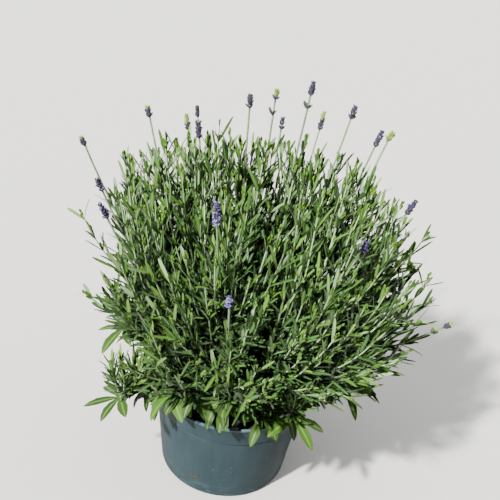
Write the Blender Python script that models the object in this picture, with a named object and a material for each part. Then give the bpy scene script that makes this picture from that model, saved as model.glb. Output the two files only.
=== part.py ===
"""Potted lavender: a moulded pot filled with potting soil, and three woody crowns that carry the leafy
shoots and the flower stalks.

Run it with  blender --background --python part.py  or from Blender's text editor.
Metres, +Z up. The origin is the middle of the pot's underside, which stands on Z = 0.
"""

from math import atan2, cos, pi, radians, sin, tau

import bmesh
import bpy
import numpy as np
from mathutils import Vector

# ---------------------------------------------------------------- pot
POT_HEIGHT = 0.128
RIM_RADIUS = 0.095  # outside, at the top of the collar
BASE_RADIUS = 0.0785  # outside, just above the foot
WALL = 0.0016
COLLAR_HEIGHT = 0.027  # the straight band below the rim
COLLAR_STEP = 0.0014  # how far the collar stands out from the wall below it
LIP_HEIGHT = 0.0030  # the bead round the mouth
LIP_OVERHANG = 0.0014
FOOT_CORNER = 0.0050  # the rounded corner between wall and floor
FLOOR = 0.0020
FLOOR_CENTRE_RADIUS = 0.045  # the middle of the floor stands on the ground
FOOT_WIDTH = 0.0080  # the ring that stands on the ground at the floor's edge
FLOOR_RISE = 0.0040  # how far the floor between them is raised, for drainage
DRAIN_HOLES = 8
DRAIN_RADIUS = 0.0045
POT_STEPS = 40

# ---------------------------------------------------------------- soil
CLEARANCE = 0.0003  # the gap that keeps two touching solids apart
HEADSPACE = 0.013  # from the soil's edge up to the pot's mouth, for watering
SOIL_MOUND = 0.004  # how much higher the soil is in the middle

# ---------------------------------------------------------------- crowns
CROWNS = 3
CROWN_RING = 0.026  # distance of each crown from the pot's axis
CROWN_RADIUS = 0.0105
CROWN_NECK_RADIUS = 0.0075
CROWN_DEPTH = 0.016  # how deep the neck goes into the soil
POCKET_SIDES = 8  # of the pocket that holds the neck in the soil
CROWN_LIFT = 0.010  # height of the crown's middle above the soil
STUB_RADIUS = 0.0017

# ---------------------------------------------------------------- shoots
SHOOT_START_HEIGHT = 0.030  # above the soil, where a crown's stub hands over to a green shoot
BEND_OUT = 0.60  # the curve's handle lies at this share of the way out to the tip,
BEND_UP = 0.42  # and at this share of the way up, so that a shoot first leans out and then turns up
STEM_RADIUS = 0.0013  # half the width of the square stem at its foot
STEM_CORNER = 1.45  # a square stem's corner is this many times as far out as its side
FAN_STEMS = 560 / 13  # how far out a shoot that lay flat would start, in stem radii: room for all the stems
STEM_TIP_RADIUS = 0.0008
LEAF_LENGTH = 0.038  # of the lowest leaves
LEAF_WIDTH = 0.0072
LEAF_TIP_SHARE = 0.66  # the highest leaves are this share as long
LEAF_THICKNESS = 0.0011
LEAF_FOOT = 0.0016  # half the height of a leaf's foot on the stem
LEAF_LENGTH_RANGE = (0.85, 1.10)  # the shares that leaves of one place differ by
LEAF_SPREAD = (radians(58), radians(33))  # angle between leaf and stem, at the stem's foot and tip
LEAF_CURL = 0.8  # the outer half of a leaf keeps this share of that angle
LEAF_MARGIN = 0.0015  # the least gap between a leaf and the pot or the soil
BASAL_LEAF_WIDTH = 0.0100

# Flower stalks: where each one's tip is (x, y, height above the pot's mouth) and its spike's length
STALKS = [
    (-0.190, 0.006, 0.282, 0.014),
    (-0.164, -0.022, 0.245, 0.020),
    (-0.150, -0.064, 0.238, 0.024),
    (-0.126, 0.030, 0.314, 0.016),
    (-0.070, 0.020, 0.302, 0.040),
    (-0.020, 0.000, 0.353, 0.018),
    (0.005, 0.024, 0.356, 0.014),
    (0.040, 0.008, 0.372, 0.018),
    (0.016, 0.062, 0.306, 0.017),
    (0.084, 0.000, 0.356, 0.018),
    (0.117, 0.024, 0.318, 0.022),
    (0.124, -0.014, 0.344, 0.013),
    (0.158, -0.020, 0.266, 0.022),
    (0.224, -0.040, 0.142, 0.014),
    (-0.034, -0.128, 0.286, 0.032),
    (0.108, -0.098, 0.256, 0.024),
    (-0.012, -0.168, 0.222, 0.020),
    (0.062, 0.128, 0.282, 0.026),
    (-0.092, 0.122, 0.262, 0.022),
    (-0.020, 0.176, 0.196, 0.018),
]
# Basal shoots: short ones that lean out over the pot's mouth, at these angles from +X
BASAL_ANGLES = [radians(a) for a in (-148, -58, -22, 168, 60)]
BASAL_OVERHANG = 0.027  # how far outside the rim they end
BASAL_HEIGHT = 0.034  # above the pot's mouth
# Leafy shoots: each takes the widest gap that is left in the fan of shoots
LEAFY_SHOOTS = 10
DOME_HEIGHT = 0.285  # above the pot's mouth, where the leaves end
DOME_REACH = 0.172
DOME_LOWEST = radians(72)  # the furthest that a leafy shoot leans
GOLDEN_ANGLE = radians(137.508)
GAP_TRIALS = 400  # the places that are compared to find the widest gap
# The soil stays in sight here, at the front, where the pot is watered
WATERING_GAP_X = 0.012  # of its middle
WATERING_GAP_INSET = 0.0235  # from the rim in to its middle
WATERING_GAP_HALF = (0.020, 0.008)

# ---------------------------------------------------------------- flower spikes
SPIKE_RADIUS = 0.0046
SPIKE_SIDES = 6
SPIKE_TAPER = 0.35  # the share of its radius that a spike loses up to its top whorl
SPIKE_WAIST = 0.6  # between two whorls, as a share of the whorl below
WHORL_SPACING = 0.0062

COLOURS = {  # base colour, roughness
    "pot_plastic": ((0.085, 0.135, 0.150, 1), 0.45),
    "soil": ((0.030, 0.020, 0.014, 1), 0.95),
    "woody_stem": ((0.190, 0.150, 0.095, 1), 0.85),
    "leaf": ((0.095, 0.180, 0.050, 1), 0.60),
    "flower": ((0.120, 0.090, 0.260, 1), 0.70),
}

rng = np.random.default_rng(7)


# ---------------------------------------------------------------- helpers
def material(name):
    """The named material, made once."""
    found = bpy.data.materials.get(name)
    if found:
        return found
    made = bpy.data.materials.new(name)
    made.use_nodes = True
    shader = made.node_tree.nodes["Principled BSDF"]
    colour, roughness = COLOURS[name]
    shader.inputs["Base Color"].default_value = colour
    shader.inputs["Roughness"].default_value = roughness
    return made


def add_object(name, mesh, slot, parent=None):
    obj = bpy.data.objects.new(name, mesh)
    bpy.context.scene.collection.objects.link(obj)
    obj.data.materials.append(material(slot))
    obj.parent = parent
    return obj


def mesh_of(name, bm):
    bmesh.ops.recalc_face_normals(bm, faces=bm.faces)
    mesh = bpy.data.meshes.new(name)
    bm.to_mesh(mesh)
    bm.free()
    return mesh


def turned(name, profile, steps):
    """The solid that a closed (radius, height) outline sweeps round Z. A point at radius 0 is on the axis."""
    bm = bmesh.new()
    points = [bm.verts.new((r, 0, z)) for r, z in profile]
    edges = [bm.edges.new(pair) for pair in zip(points, points[1:] + points[:1])]
    bmesh.ops.spin(
        bm,
        geom=points + edges,
        cent=(0, 0, 0),
        axis=(0, 0, 1),
        angle=tau,
        steps=steps,
        use_merge=True,
    )
    bmesh.ops.remove_doubles(bm, verts=bm.verts, dist=1e-6)
    bmesh.ops.dissolve_degenerate(bm, dist=1e-7, edges=bm.edges)
    mesh = mesh_of(name, bm)
    mesh.shade_smooth()
    mesh.set_sharp_from_angle(angle=radians(35))
    return mesh


# ---------------------------------------------------------------- pot and soil
def outer_radius(z):
    """The pot's outside below the collar: a straight taper."""
    share = z / POT_HEIGHT
    return BASE_RADIUS + (RIM_RADIUS - COLLAR_STEP - BASE_RADIUS) * share


def corner(centre_r, centre_z, radius, start, end, steps=4):
    """An arc of (radius, height) points."""
    angles = np.linspace(start, end, steps)
    return [(centre_r + radius * cos(a), centre_z + radius * sin(a)) for a in angles]


def floor_steps():
    """The floor's underside from the foot in to the axis: it is raised between the foot and the middle."""
    foot_outer = outer_radius(FOOT_CORNER) - FOOT_CORNER
    foot_inner = foot_outer - FOOT_WIDTH
    return [
        (foot_outer, 0),
        (foot_inner, 0),
        (foot_inner - FLOOR_RISE, FLOOR_RISE),
        (FLOOR_CENTRE_RADIUS + FLOOR_RISE, FLOOR_RISE),
        (FLOOR_CENTRE_RADIUS, 0),
        (0, 0),
    ]


def pot_profile():
    collar_foot = POT_HEIGHT - COLLAR_HEIGHT
    foot_outer = outer_radius(FOOT_CORNER) - FOOT_CORNER
    outside = [
        (RIM_RADIUS + LIP_OVERHANG, POT_HEIGHT),
        (RIM_RADIUS + LIP_OVERHANG, POT_HEIGHT - LIP_HEIGHT),
        (RIM_RADIUS, POT_HEIGHT - LIP_HEIGHT - LIP_OVERHANG / 2),
        (outer_radius(collar_foot) + COLLAR_STEP, collar_foot),
        (outer_radius(collar_foot), collar_foot - COLLAR_STEP / 2),
    ]
    outside += corner(foot_outer, FOOT_CORNER, FOOT_CORNER, 0, -pi / 2)[:-1]
    inside = [(r, z + FLOOR) for r, z in reversed(floor_steps())]
    inside += [
        (inner_radius(FLOOR + FOOT_CORNER), FLOOR + FOOT_CORNER),
        (inner_radius(collar_foot), collar_foot),
        (RIM_RADIUS - WALL, POT_HEIGHT),
    ]
    return outside + floor_steps() + inside


def inner_radius(z):
    """The pot's inside: a wall's thickness in, and the collar's step out again above the collar's foot."""
    collar_foot = POT_HEIGHT - COLLAR_HEIGHT
    step = COLLAR_STEP * max(0.0, (z - collar_foot) / COLLAR_HEIGHT)
    return outer_radius(z) - WALL + step


def make_pot(parent):
    pot = add_object("pot", turned("pot", pot_profile(), POT_STEPS), "pot_plastic", parent)
    raised = [r for r, z in floor_steps() if z == FLOOR_RISE]
    hole_ring = sum(raised) / 2
    for k in range(DRAIN_HOLES):
        angle = tau * (k + 0.5) / DRAIN_HOLES
        bm = bmesh.new()
        bmesh.ops.create_cone(
            bm, cap_ends=True, segments=8, radius1=DRAIN_RADIUS, radius2=DRAIN_RADIUS, depth=4 * FLOOR
        )
        cutter = add_object(f"drain_cutter_{k + 1}", mesh_of("drain_cutter", bm), "pot_plastic", parent)
        cutter.location = (hole_ring * cos(angle), hole_ring * sin(angle), FLOOR_RISE + FLOOR / 2)
        cutter.hide_render = True
        cutter.display_type = "WIRE"
        cut = pot.modifiers.new(f"drain_{k + 1}", "BOOLEAN")
        cut.operation = "DIFFERENCE"
        cut.object = cutter
    return pot


SOIL_EDGE = POT_HEIGHT - HEADSPACE


def soil_height(r):
    """The soil's surface: a low mound that falls to the pot's wall."""
    share = min(r / inner_radius(SOIL_EDGE), 1.0)
    return SOIL_EDGE + SOIL_MOUND * (1 - share**2)


def make_soil(crown_places, parent):
    corner_z = FLOOR + FOOT_CORNER
    top = inner_radius(SOIL_EDGE) - CLEARANCE
    profile = [(0, soil_height(0))]
    profile += [(top * share, soil_height(top * share)) for share in (0.35, 0.7, 1.0)]
    collar_foot = POT_HEIGHT - COLLAR_HEIGHT
    profile += [
        (inner_radius(collar_foot) - CLEARANCE, collar_foot),
        (inner_radius(corner_z) - CLEARANCE, corner_z + CLEARANCE),
    ]
    profile += [(r, z + FLOOR + 1.5 * CLEARANCE) for r, z in floor_steps()]
    soil = add_object("potting_soil", turned("potting_soil", profile, POT_STEPS), "soil", parent)
    pocket_radius = (CROWN_NECK_RADIUS + CLEARANCE) / cos(pi / POCKET_SIDES)
    for k, place in enumerate(crown_places):
        bm = bmesh.new()
        bmesh.ops.create_cone(
            bm,
            cap_ends=True,
            segments=POCKET_SIDES,
            radius1=pocket_radius,
            radius2=pocket_radius,
            depth=2 * CROWN_DEPTH,
        )
        cutter = add_object(f"neck_cutter_{k + 1}", mesh_of("neck_cutter", bm), "soil", parent)
        soil_here = soil_height(place.length)
        cutter.location = (place.x, place.y, soil_here - CLEARANCE)
        cutter.hide_render = True
        cutter.display_type = "WIRE"
        cut = soil.modifiers.new(f"neck_{k + 1}", "BOOLEAN")
        cut.operation = "DIFFERENCE"
        cut.object = cutter
    return soil


# ---------------------------------------------------------------- where the shoots go
FAN_HEIGHT = SOIL_EDGE + SHOOT_START_HEIGHT  # where the crowns' stubs hand over to the green shoots


def fan_place(tip):
    """A tip's place in the fan seen from above: its lean, as a share of a right angle, to its own side."""
    lean = atan2(tip.xy.length, tip.z - FAN_HEIGHT)
    return tip.xy.normalized() * (lean / (pi / 2))


def shoot_path(tip):
    """A shoot's line from its stub to its tip: a curve that leaves outwards and then turns up."""
    start = (fan_place(tip) * FAN_STEMS * STEM_RADIUS).to_3d()
    start.z = FAN_HEIGHT
    rise = tip - start
    bend = start + Vector((rise.x * BEND_OUT, rise.y * BEND_OUT, rise.z * BEND_UP))

    def point(t):
        return start * (1 - t) ** 2 + bend * 2 * t * (1 - t) + tip * t**2

    def direction(t):
        return ((bend - start) * (1 - t) + (tip - bend) * t).normalized()

    return point, direction


def dome_tip(place):
    """Where a leafy shoot ends, for its place in the fan: on an egg-shaped dome."""
    lean = place.length * pi / 2
    out = place.normalized() * DOME_REACH * sin(lean) / sin(DOME_LOWEST)
    return Vector((out.x, out.y, FAN_HEIGHT + (POT_HEIGHT + DOME_HEIGHT - FAN_HEIGHT) * cos(lean)))


def widest_gap(taken):
    """The place in the fan furthest from every place taken, out of points spread as in a sunflower."""
    limit = DOME_LOWEST / (pi / 2)
    shares = (np.arange(GAP_TRIALS) + 0.5) / GAP_TRIALS
    turns = GOLDEN_ANGLE * np.arange(GAP_TRIALS)
    trials = limit * np.sqrt(shares)[:, None] * np.stack([np.cos(turns), np.sin(turns)], axis=1)
    gaps = np.linalg.norm(trials[:, None] - np.array(taken)[None], axis=2).min(axis=1)
    return Vector(trials[gaps.argmax()])


def shoot_plan():
    """Every shoot: its kind, its tip and, for a flower stalk, its spike's length."""
    plan = []
    for x, y, height, length in STALKS:
        plan.append(("flower_stalk", Vector((x, y, POT_HEIGHT + height)), length))
    reach = RIM_RADIUS + BASAL_OVERHANG
    for turn in BASAL_ANGLES:
        tip = Vector((reach * cos(turn), reach * sin(turn), POT_HEIGHT + BASAL_HEIGHT))
        plan.append(("basal_shoot", tip, 0))
    taken = [fan_place(tip) for _, tip, _ in plan]
    for _ in range(LEAFY_SHOOTS):
        place = widest_gap(taken)
        taken.append(place)
        plan.append(("leafy_shoot", dome_tip(place), 0))
    return plan


# ---------------------------------------------------------------- free space for the leaves
CROWN_OWNER = -1  # a shoot's owner number is its place in the plan


class FreeSpace:
    """The stems and leaves grown so far, as round-ended bars, so that a new leaf can be kept off them."""

    def __init__(self):
        self.bars = []

    def add(self, a, b, radius, owner):
        self.bars.append((*a, *b, radius, owner))

    def gap_is_free(self, a, b, radius, owner):
        """True if a bar from a to b clears every bar of another owner."""
        bars = np.array([bar for bar in self.bars if bar[7] != owner])
        return bool((bar_distances(a, b, bars) > bars[:, 6] + radius + CLEARANCE).all())


def bar_distances(a, b, bars):
    """The shortest distance from the line a-b to each bar's line, by the closest-points formula."""
    p, d = np.array(a), np.array(b) - np.array(a)
    q, e = bars[:, 0:3], bars[:, 3:6] - bars[:, 0:3]
    away = p - q
    dd, ee, de = d @ d, (e * e).sum(1), e @ d
    dr, er = away @ d, (away * e).sum(1)
    parallel = np.maximum(dd * ee - de**2, 1e-12)
    s = np.clip((de * er - dr * ee) / parallel, 0, 1)
    t = np.clip((de * s + er) / ee, 0, 1)
    s = np.clip((de * t - dr) / dd, 0, 1)
    return np.linalg.norm(p + s[:, None] * d - (q + t[:, None] * e), axis=1)


def clears_the_pot(a, b, radius):
    """True if a leaf from a to b stays off the pot, the soil and the watering gap."""
    margin = radius + LEAF_MARGIN
    half_x, half_y = WATERING_GAP_HALF
    gap_y = WATERING_GAP_INSET - RIM_RADIUS
    for share in np.linspace(0, 1, 9):
        point = a.lerp(b, share)
        r = point.xy.length
        if point.z > POT_HEIGHT + margin:
            continue
        off_x, off_y = abs(point.x - WATERING_GAP_X), abs(point.y - gap_y)
        in_gap = off_x < half_x + margin and off_y < half_y + margin
        inside = r < inner_radius(point.z) - margin and point.z > soil_height(r) + margin
        outside = r > RIM_RADIUS + LIP_OVERHANG + margin and point.z > margin
        if in_gap or not (inside or outside):
            return False
    return True


# ---------------------------------------------------------------- shoots
def start_stem(bm, centre, along, side, half):
    """A first square ring with its closing face, which the rest is extruded from."""
    across = along.cross(side).normalized()
    corners = [centre + half * (side * a + across * b) for a, b in ((1, 1), (-1, 1), (-1, -1), (1, -1))]
    low = [bm.verts.new(c) for c in corners]
    high = [bm.verts.new(c + along * half) for c in corners]
    bm.faces.new(low)
    for k in range(4):
        bm.faces.new((low[k], low[(k + 1) % 4], high[(k + 1) % 4], high[k]))
    return bm.faces.new(high[::-1])


def extrude_to(bm, face, centre, wide, thick, half_wide, half_thick):
    """Extrudes a four-sided face and fits its copy to a rectangle. Returns the copy."""
    old_centre = face.calc_center_median()
    copy = bmesh.ops.extrude_discrete_faces(bm, faces=[face])["faces"][0]
    for vert in copy.verts:
        away = vert.co - old_centre
        a = half_wide if away.dot(wide) > 0 else -half_wide
        b = half_thick if away.dot(thick) > 0 else -half_thick
        vert.co = centre + wide * a + thick * b
    return copy


def side_face(cap, direction):
    """The face beside cap whose outside points most nearly along direction."""
    beside = [f for edge in cap.edges for f in edge.link_faces if f is not cap]
    for face in beside:
        face.normal_update()
    return max(beside, key=lambda f: abs(f.normal.dot(direction)) * (1 if outward(f, cap, direction) else -1))


def outward(face, cap, direction):
    return (face.calc_center_median() - cap.calc_center_median()).dot(direction) > 0


def leaf_line(foot, along, side, length, spread):
    """A leaf's middle and tip: it leaves the stem at its spread angle and bends a little upwards."""
    first = (along * cos(spread) + side * sin(spread)).normalized()
    second = (along * cos(spread * LEAF_CURL) + side * sin(spread * LEAF_CURL)).normalized()
    middle = foot + first * length / 2
    return middle, middle + second * length / 2


def grow_leaf(bm, space, face, along, side, length, width, spread, owner):
    """Draws one leaf out of a stem's side face, unless it would touch a neighbour. True if it grew."""
    foot = face.calc_center_median()
    middle, tip = leaf_line(foot, along, side, length, spread)
    half = width / 2
    clear = clears_the_pot(foot, middle, half) and clears_the_pot(middle, tip, half)
    free = space.gap_is_free(foot, middle, half, owner) and space.gap_is_free(middle, tip, half, owner)
    if not (clear and free):
        return False
    wide = along.cross(side).normalized()
    thick = wide.cross(middle - foot).normalized()
    if thick.dot(along) < 0:
        thick.negate()
    blade = extrude_to(bm, face, middle, wide, thick, half, LEAF_THICKNESS / 2)
    point = extrude_to(bm, blade, tip, wide, thick, half / 4, LEAF_THICKNESS / 4)
    bmesh.ops.pointmerge(bm, verts=list(point.verts), merge_co=tip)
    space.add(foot, middle, half, owner)
    space.add(middle, tip, half, owner)
    return True


LEAF_STATIONS = {  # where the pairs of leaves are along each kind of shoot
    "flower_stalk": (0.16, 0.30, 0.43, 0.55, 0.66, 0.78),
    "leafy_shoot": (0.20, 0.36, 0.52, 0.66, 0.80, 0.93),
    "basal_shoot": (0.38, 0.66, 0.92),
}


def make_shoot(name, kind, tip, space, owner, parent):
    """A square stem with its pairs of leaves, each pair a quarter turn on from the last."""
    point, direction = shoot_path(tip)
    along = direction(0)
    side = along.cross(Vector((sin(owner), cos(owner), 0.1))).normalized()
    foot = point(0) + along * CLEARANCE
    bm = bmesh.new()
    cap = start_stem(bm, foot, along, side, STEM_RADIUS)
    for k, t in enumerate(LEAF_STATIONS[kind]):
        along = direction(t)
        side = (side - along * side.dot(along)).normalized()
        across = along.cross(side).normalized()
        half = STEM_RADIUS + (STEM_TIP_RADIUS - STEM_RADIUS) * t
        for offset in (-LEAF_FOOT, LEAF_FOOT):
            cap = extrude_to(bm, cap, point(t) + along * offset, side, across, half, half)
        leaf_side = side if k % 2 else across
        share = 1 - (1 - LEAF_TIP_SHARE) * t
        width = BASAL_LEAF_WIDTH if kind == "basal_shoot" else LEAF_WIDTH * share
        length = LEAF_LENGTH * share * rng.uniform(*LEAF_LENGTH_RANGE)
        spread = LEAF_SPREAD[0] + (LEAF_SPREAD[1] - LEAF_SPREAD[0]) * t
        feet = [(side_face(cap, leaf_side * sign), leaf_side * sign) for sign in (1, -1)]
        for face, way in feet:
            grow_leaf(bm, space, face, along, way, length, width, spread, owner)
    along = direction(1)
    side = (side - along * side.dot(along)).normalized()
    across = along.cross(side).normalized()
    cap = extrude_to(bm, cap, tip, side, across, STEM_TIP_RADIUS, STEM_TIP_RADIUS)
    if kind != "flower_stalk":
        bud = tip + along * LEAF_WIDTH
        cap = extrude_to(bm, cap, bud, side, across, LEAF_WIDTH / 4, LEAF_WIDTH / 4)
        cap = extrude_to(bm, cap, bud + along * LEAF_WIDTH, side, across, LEAF_WIDTH / 9, LEAF_WIDTH / 9)
        bmesh.ops.pointmerge(bm, verts=list(cap.verts), merge_co=bud + along * LEAF_WIDTH)
    return add_object(name, mesh_of(name, bm), "leaf", parent)


# ---------------------------------------------------------------- flower spikes
def make_spike(name, tip, length, parent):
    """A flower spike: whorls of buds as stacked swellings round the stalk's own line."""
    _, direction = shoot_path(tip)
    whorls = max(2, round(length / WHORL_SPACING))
    outline = [(STEM_TIP_RADIUS, 0.0)]
    for k in range(whorls):
        swell = SPIKE_RADIUS * (1 - SPIKE_TAPER * k / whorls)
        outline.append((swell, length * (k + 0.45) / whorls))
        outline.append((swell * SPIKE_WAIST, length * (k + 0.95) / whorls))
    bm = bmesh.new()
    rings = []
    for radius, z in outline:
        angles = [tau * k / SPIKE_SIDES for k in range(SPIKE_SIDES)]
        rings.append([bm.verts.new((radius * cos(a), radius * sin(a), z)) for a in angles])
    for low, high in zip(rings, rings[1:]):
        for k in range(SPIKE_SIDES):
            n = (k + 1) % SPIKE_SIDES
            bm.faces.new((low[k], low[n], high[n], high[k]))
    bm.faces.new(rings[0])
    bm.faces.new(rings[-1])
    spike = add_object(name, mesh_of(name, bm), "flower", parent)
    along = direction(1)
    spike.rotation_mode = "QUATERNION"
    spike.rotation_quaternion = along.to_track_quat("Z", "Y")
    spike.location = tip + along * CLEARANCE
    return spike


# ---------------------------------------------------------------- crowns
def crown_places():
    angles = [pi / 2 + tau * k / CROWNS for k in range(CROWNS)]
    return [Vector((CROWN_RING * cos(a), CROWN_RING * sin(a))) for a in angles]


def nearest_crown(places, tip):
    """The crown that carries the shoot with this tip."""
    start = shoot_path(tip)[0](0)
    return min(places, key=lambda place: (start.xy - place).length)


def crown_middle(place):
    return Vector((place.x, place.y, soil_height(place.length) + CROWN_LIFT))


def make_crown(name, place, tips, parent):
    """A woody knot on a neck in the soil, with one stub drawn out of it towards each of its shoots."""
    middle = crown_middle(place)
    bm = bmesh.new()
    bmesh.ops.create_icosphere(bm, subdivisions=2, radius=CROWN_RADIUS)
    bmesh.ops.translate(bm, verts=bm.verts, vec=middle)
    bm.faces.ensure_lookup_table()
    lowest = min(bm.verts, key=lambda v: v.co.z)
    under = list(lowest.link_faces)
    neck = bmesh.ops.extrude_face_region(bm, geom=under)
    bmesh.ops.delete(bm, geom=under, context="FACES_ONLY")
    for vert in (v for v in neck["geom"] if isinstance(v, bmesh.types.BMVert)):
        out = (vert.co - middle).xy
        reach = CROWN_NECK_RADIUS if out.length > 1e-6 else 0
        out = out.normalized() * reach if reach else out
        vert.co = (middle.x + out.x, middle.y + out.y, soil_height(place.length) - CROWN_DEPTH)
    bm.normal_update()
    free = [f for f in bm.faces if f.calc_center_median().z > middle.z - CROWN_RADIUS / 2]
    stubs = []
    for tip in sorted(tips, key=lambda t: -t.z):
        point, direction = shoot_path(tip)
        end, along = point(0), direction(0)
        way = (end - middle).normalized() + along
        face = max(free, key=lambda f: f.normal.dot(way))
        free.remove(face)
        stubs.append((face, face.normal.copy(), end, along))
    for face, normal, end, along in stubs:
        copy = bmesh.ops.extrude_discrete_faces(bm, faces=[face])["faces"][0]
        centre = copy.calc_center_median()
        turn = normal.rotation_difference(along)
        for vert in copy.verts:
            vert.co = end + turn @ (vert.co - centre).normalized() * STUB_RADIUS
    return add_object(name, mesh_of(name, bm), "woody_stem", parent)


# ---------------------------------------------------------------- the whole plant
def build():
    for obj in list(bpy.data.objects):
        bpy.data.objects.remove(obj, do_unlink=True)
    plant = bpy.data.objects.new("potted_lavender", None)
    bpy.context.scene.collection.objects.link(plant)
    places = crown_places()
    make_pot(plant)
    make_soil(places, plant)
    plan = shoot_plan()
    space = FreeSpace()
    for owner, (_, tip, length) in enumerate(plan):
        point, direction = shoot_path(tip)
        stops = [point(t) for t in np.linspace(0, 1, 9)]
        for low, high in zip(stops, stops[1:]):
            space.add(low, high, STEM_RADIUS * STEM_CORNER, owner)
        space.add(tip, tip + direction(1) * (length + LEAF_WIDTH * 2), SPIKE_RADIUS, owner)
        middle = crown_middle(nearest_crown(places, tip))
        space.add(middle, point(0), CROWN_RADIUS / 3, CROWN_OWNER)
        space.add(middle, middle + Vector((0, 0, CLEARANCE)), CROWN_RADIUS, CROWN_OWNER)
    counts = {}
    for owner, (kind, tip, length) in enumerate(plan):
        counts[kind] = counts.get(kind, 0) + 1
        name = f"{kind}_{counts[kind]:02d}"
        make_shoot(name, kind, tip, space, owner, plant)
        if length:
            make_spike(f"flower_spike_{counts[kind]:02d}", tip, length, plant)
    for k, place in enumerate(places):
        mine = [tip for _, tip, _ in plan if nearest_crown(places, tip) is place]
        make_crown(f"woody_crown_{k + 1}", place, mine, plant)


build()
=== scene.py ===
# %% [markdown]
# # A lavender in its nursery pot
#
# The plant is a dome of straight green shoots that all fan out from a few woody crowns in the soil. This script
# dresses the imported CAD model: every CAD node is a plain stand-in that tells where a piece is and how big it may
# be, and here each one gets the real thing's surface. Thousands of thin leaves are far too many to model by hand,
# so each is a small function of two parameters, and numpy works out all the leaves of a shoot at once.

# %% Load the frame
from math import cos, pi, radians, sin, sqrt, tau

import bpy
import numpy as np
from mathutils import Matrix, Vector


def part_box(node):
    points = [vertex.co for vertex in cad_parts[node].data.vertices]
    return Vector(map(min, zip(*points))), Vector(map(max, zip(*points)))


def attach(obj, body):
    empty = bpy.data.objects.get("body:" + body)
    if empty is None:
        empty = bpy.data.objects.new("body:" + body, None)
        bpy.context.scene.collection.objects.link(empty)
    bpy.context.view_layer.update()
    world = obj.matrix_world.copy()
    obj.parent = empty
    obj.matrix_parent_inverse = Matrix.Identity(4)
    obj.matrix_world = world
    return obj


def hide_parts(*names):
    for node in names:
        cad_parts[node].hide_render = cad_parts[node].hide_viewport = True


MM = 0.001
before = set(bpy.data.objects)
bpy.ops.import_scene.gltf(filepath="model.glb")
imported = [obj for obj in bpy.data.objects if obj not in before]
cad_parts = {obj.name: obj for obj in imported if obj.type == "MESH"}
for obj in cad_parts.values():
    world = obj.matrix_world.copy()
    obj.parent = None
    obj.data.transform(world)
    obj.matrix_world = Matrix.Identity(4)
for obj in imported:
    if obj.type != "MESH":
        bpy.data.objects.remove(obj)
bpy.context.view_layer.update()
rng = np.random.default_rng(11)

# %% [markdown]
# ## Where things are
#
# Everything is placed from the frame. The pot's box gives its rim, and the crowns reach up to the height where
# they hand over to the green shoots. That point on the pot's axis is called the heart here, because every shoot
# points away from it.

# %% Driving places
pot_low, pot_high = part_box("pot")
RIM_HEIGHT = pot_high.z
LIP_RADIUS = (pot_high.x - pot_low.x) / 2
CROWNS = sorted(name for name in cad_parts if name.startswith("woody_crown"))
SPIKES = sorted(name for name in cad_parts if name.startswith("flower_spike"))
HEART = np.array([0, 0, max(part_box(name)[1].z for name in CROWNS)])
print(f"rim {RIM_HEIGHT:.3f} m high, {LIP_RADIUS:.4f} m out, heart at {HEART[2]:.4f} m")

# %% [markdown]
# ## Camera
#
# The camera looks down on the plant at about 32 degrees, from a bit over a metre away, and is tipped sideways by
# almost 8 degrees, as a camera held in one hand is. It is placed by what it aims at, its distance and two
# angles, so each can be changed by itself.

# %% Camera
AIM_ABOVE_RIM = 0.1835
CAMERA_DISTANCE = 1.032
CAMERA_ELEVATION = radians(31.95)
CAMERA_ROLL = radians(7.75)
CAMERA_LENS, SENSOR_WIDTH = 66.2, 36  # mm

camera = bpy.data.objects.new("camera", bpy.data.cameras.new("camera"))
camera.data.lens, camera.data.sensor_width = CAMERA_LENS, SENSOR_WIDTH
aim = Vector((0, 0, RIM_HEIGHT + AIM_ABOVE_RIM))
back = Vector((0, -cos(CAMERA_ELEVATION), sin(CAMERA_ELEVATION)))
turn = Matrix.Rotation(pi / 2 - CAMERA_ELEVATION, 4, "X") @ Matrix.Rotation(CAMERA_ROLL, 4, "Z")
camera.matrix_world = Matrix.Translation(aim + back * CAMERA_DISTANCE) @ turn
bpy.context.scene.collection.objects.link(camera)
bpy.context.scene.camera = camera
print("camera at", [round(v, 3) for v in camera.location])

# %% [markdown]
# ## Colours and nodes
#
# Colours are written as the hex values that a colour picker shows, which are sRGB. Blender's shaders work in
# linear light, so one function converts them. One other small function adds any shader node with its settings
# and links and hands back the output that the next node needs, which keeps each material readable as a recipe.
# Nearly every recipe ends the same way, with colours laid over one another and a bump, so that is a function too.


# %% Colour and node helpers
def linear(code):
    """An sRGB hex colour as linear RGBA: each channel c becomes ((c + 0.055) / 1.055) ** 2.4, or c / 12.92 if dark."""
    channels = [int(code[k : k + 2], 16) / 255 for k in (1, 3, 5)]
    return [c / 12.92 if c <= 0.04045 else ((c + 0.055) / 1.055) ** 2.4 for c in channels] + [1]


def add(tree, kind, inputs=None, output=0, **settings):
    """Adds a node and gives one of its outputs. Each input is a value, a hex colour, or another node's output."""
    made = tree.nodes.new(kind)
    for name, value in settings.items():
        setattr(made, name, value)
    for name, value in (inputs or {}).items():
        if isinstance(value, bpy.types.NodeSocket):
            tree.links.new(value, made.inputs[name])
        else:
            made.inputs[name].default_value = linear(value) if isinstance(value, str) else value
    return made.outputs[output]


SHARE, FIRST, SECOND, MIXED = 0, 6, 7, 2  # the colour sockets of a Mix node
RGBA = {"data_type": "RGBA"}


def new_material(name, **principled):
    """An empty material with one Principled shader whose fixed values are given, as material, tree and shader."""
    made = bpy.data.materials.new(name)
    made.use_nodes = True
    shader = made.node_tree.nodes["Principled BSDF"]
    for key, value in principled.items():
        shader.inputs[key.replace("_", " ")].default_value = value
    return made, made.node_tree, shader


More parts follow.
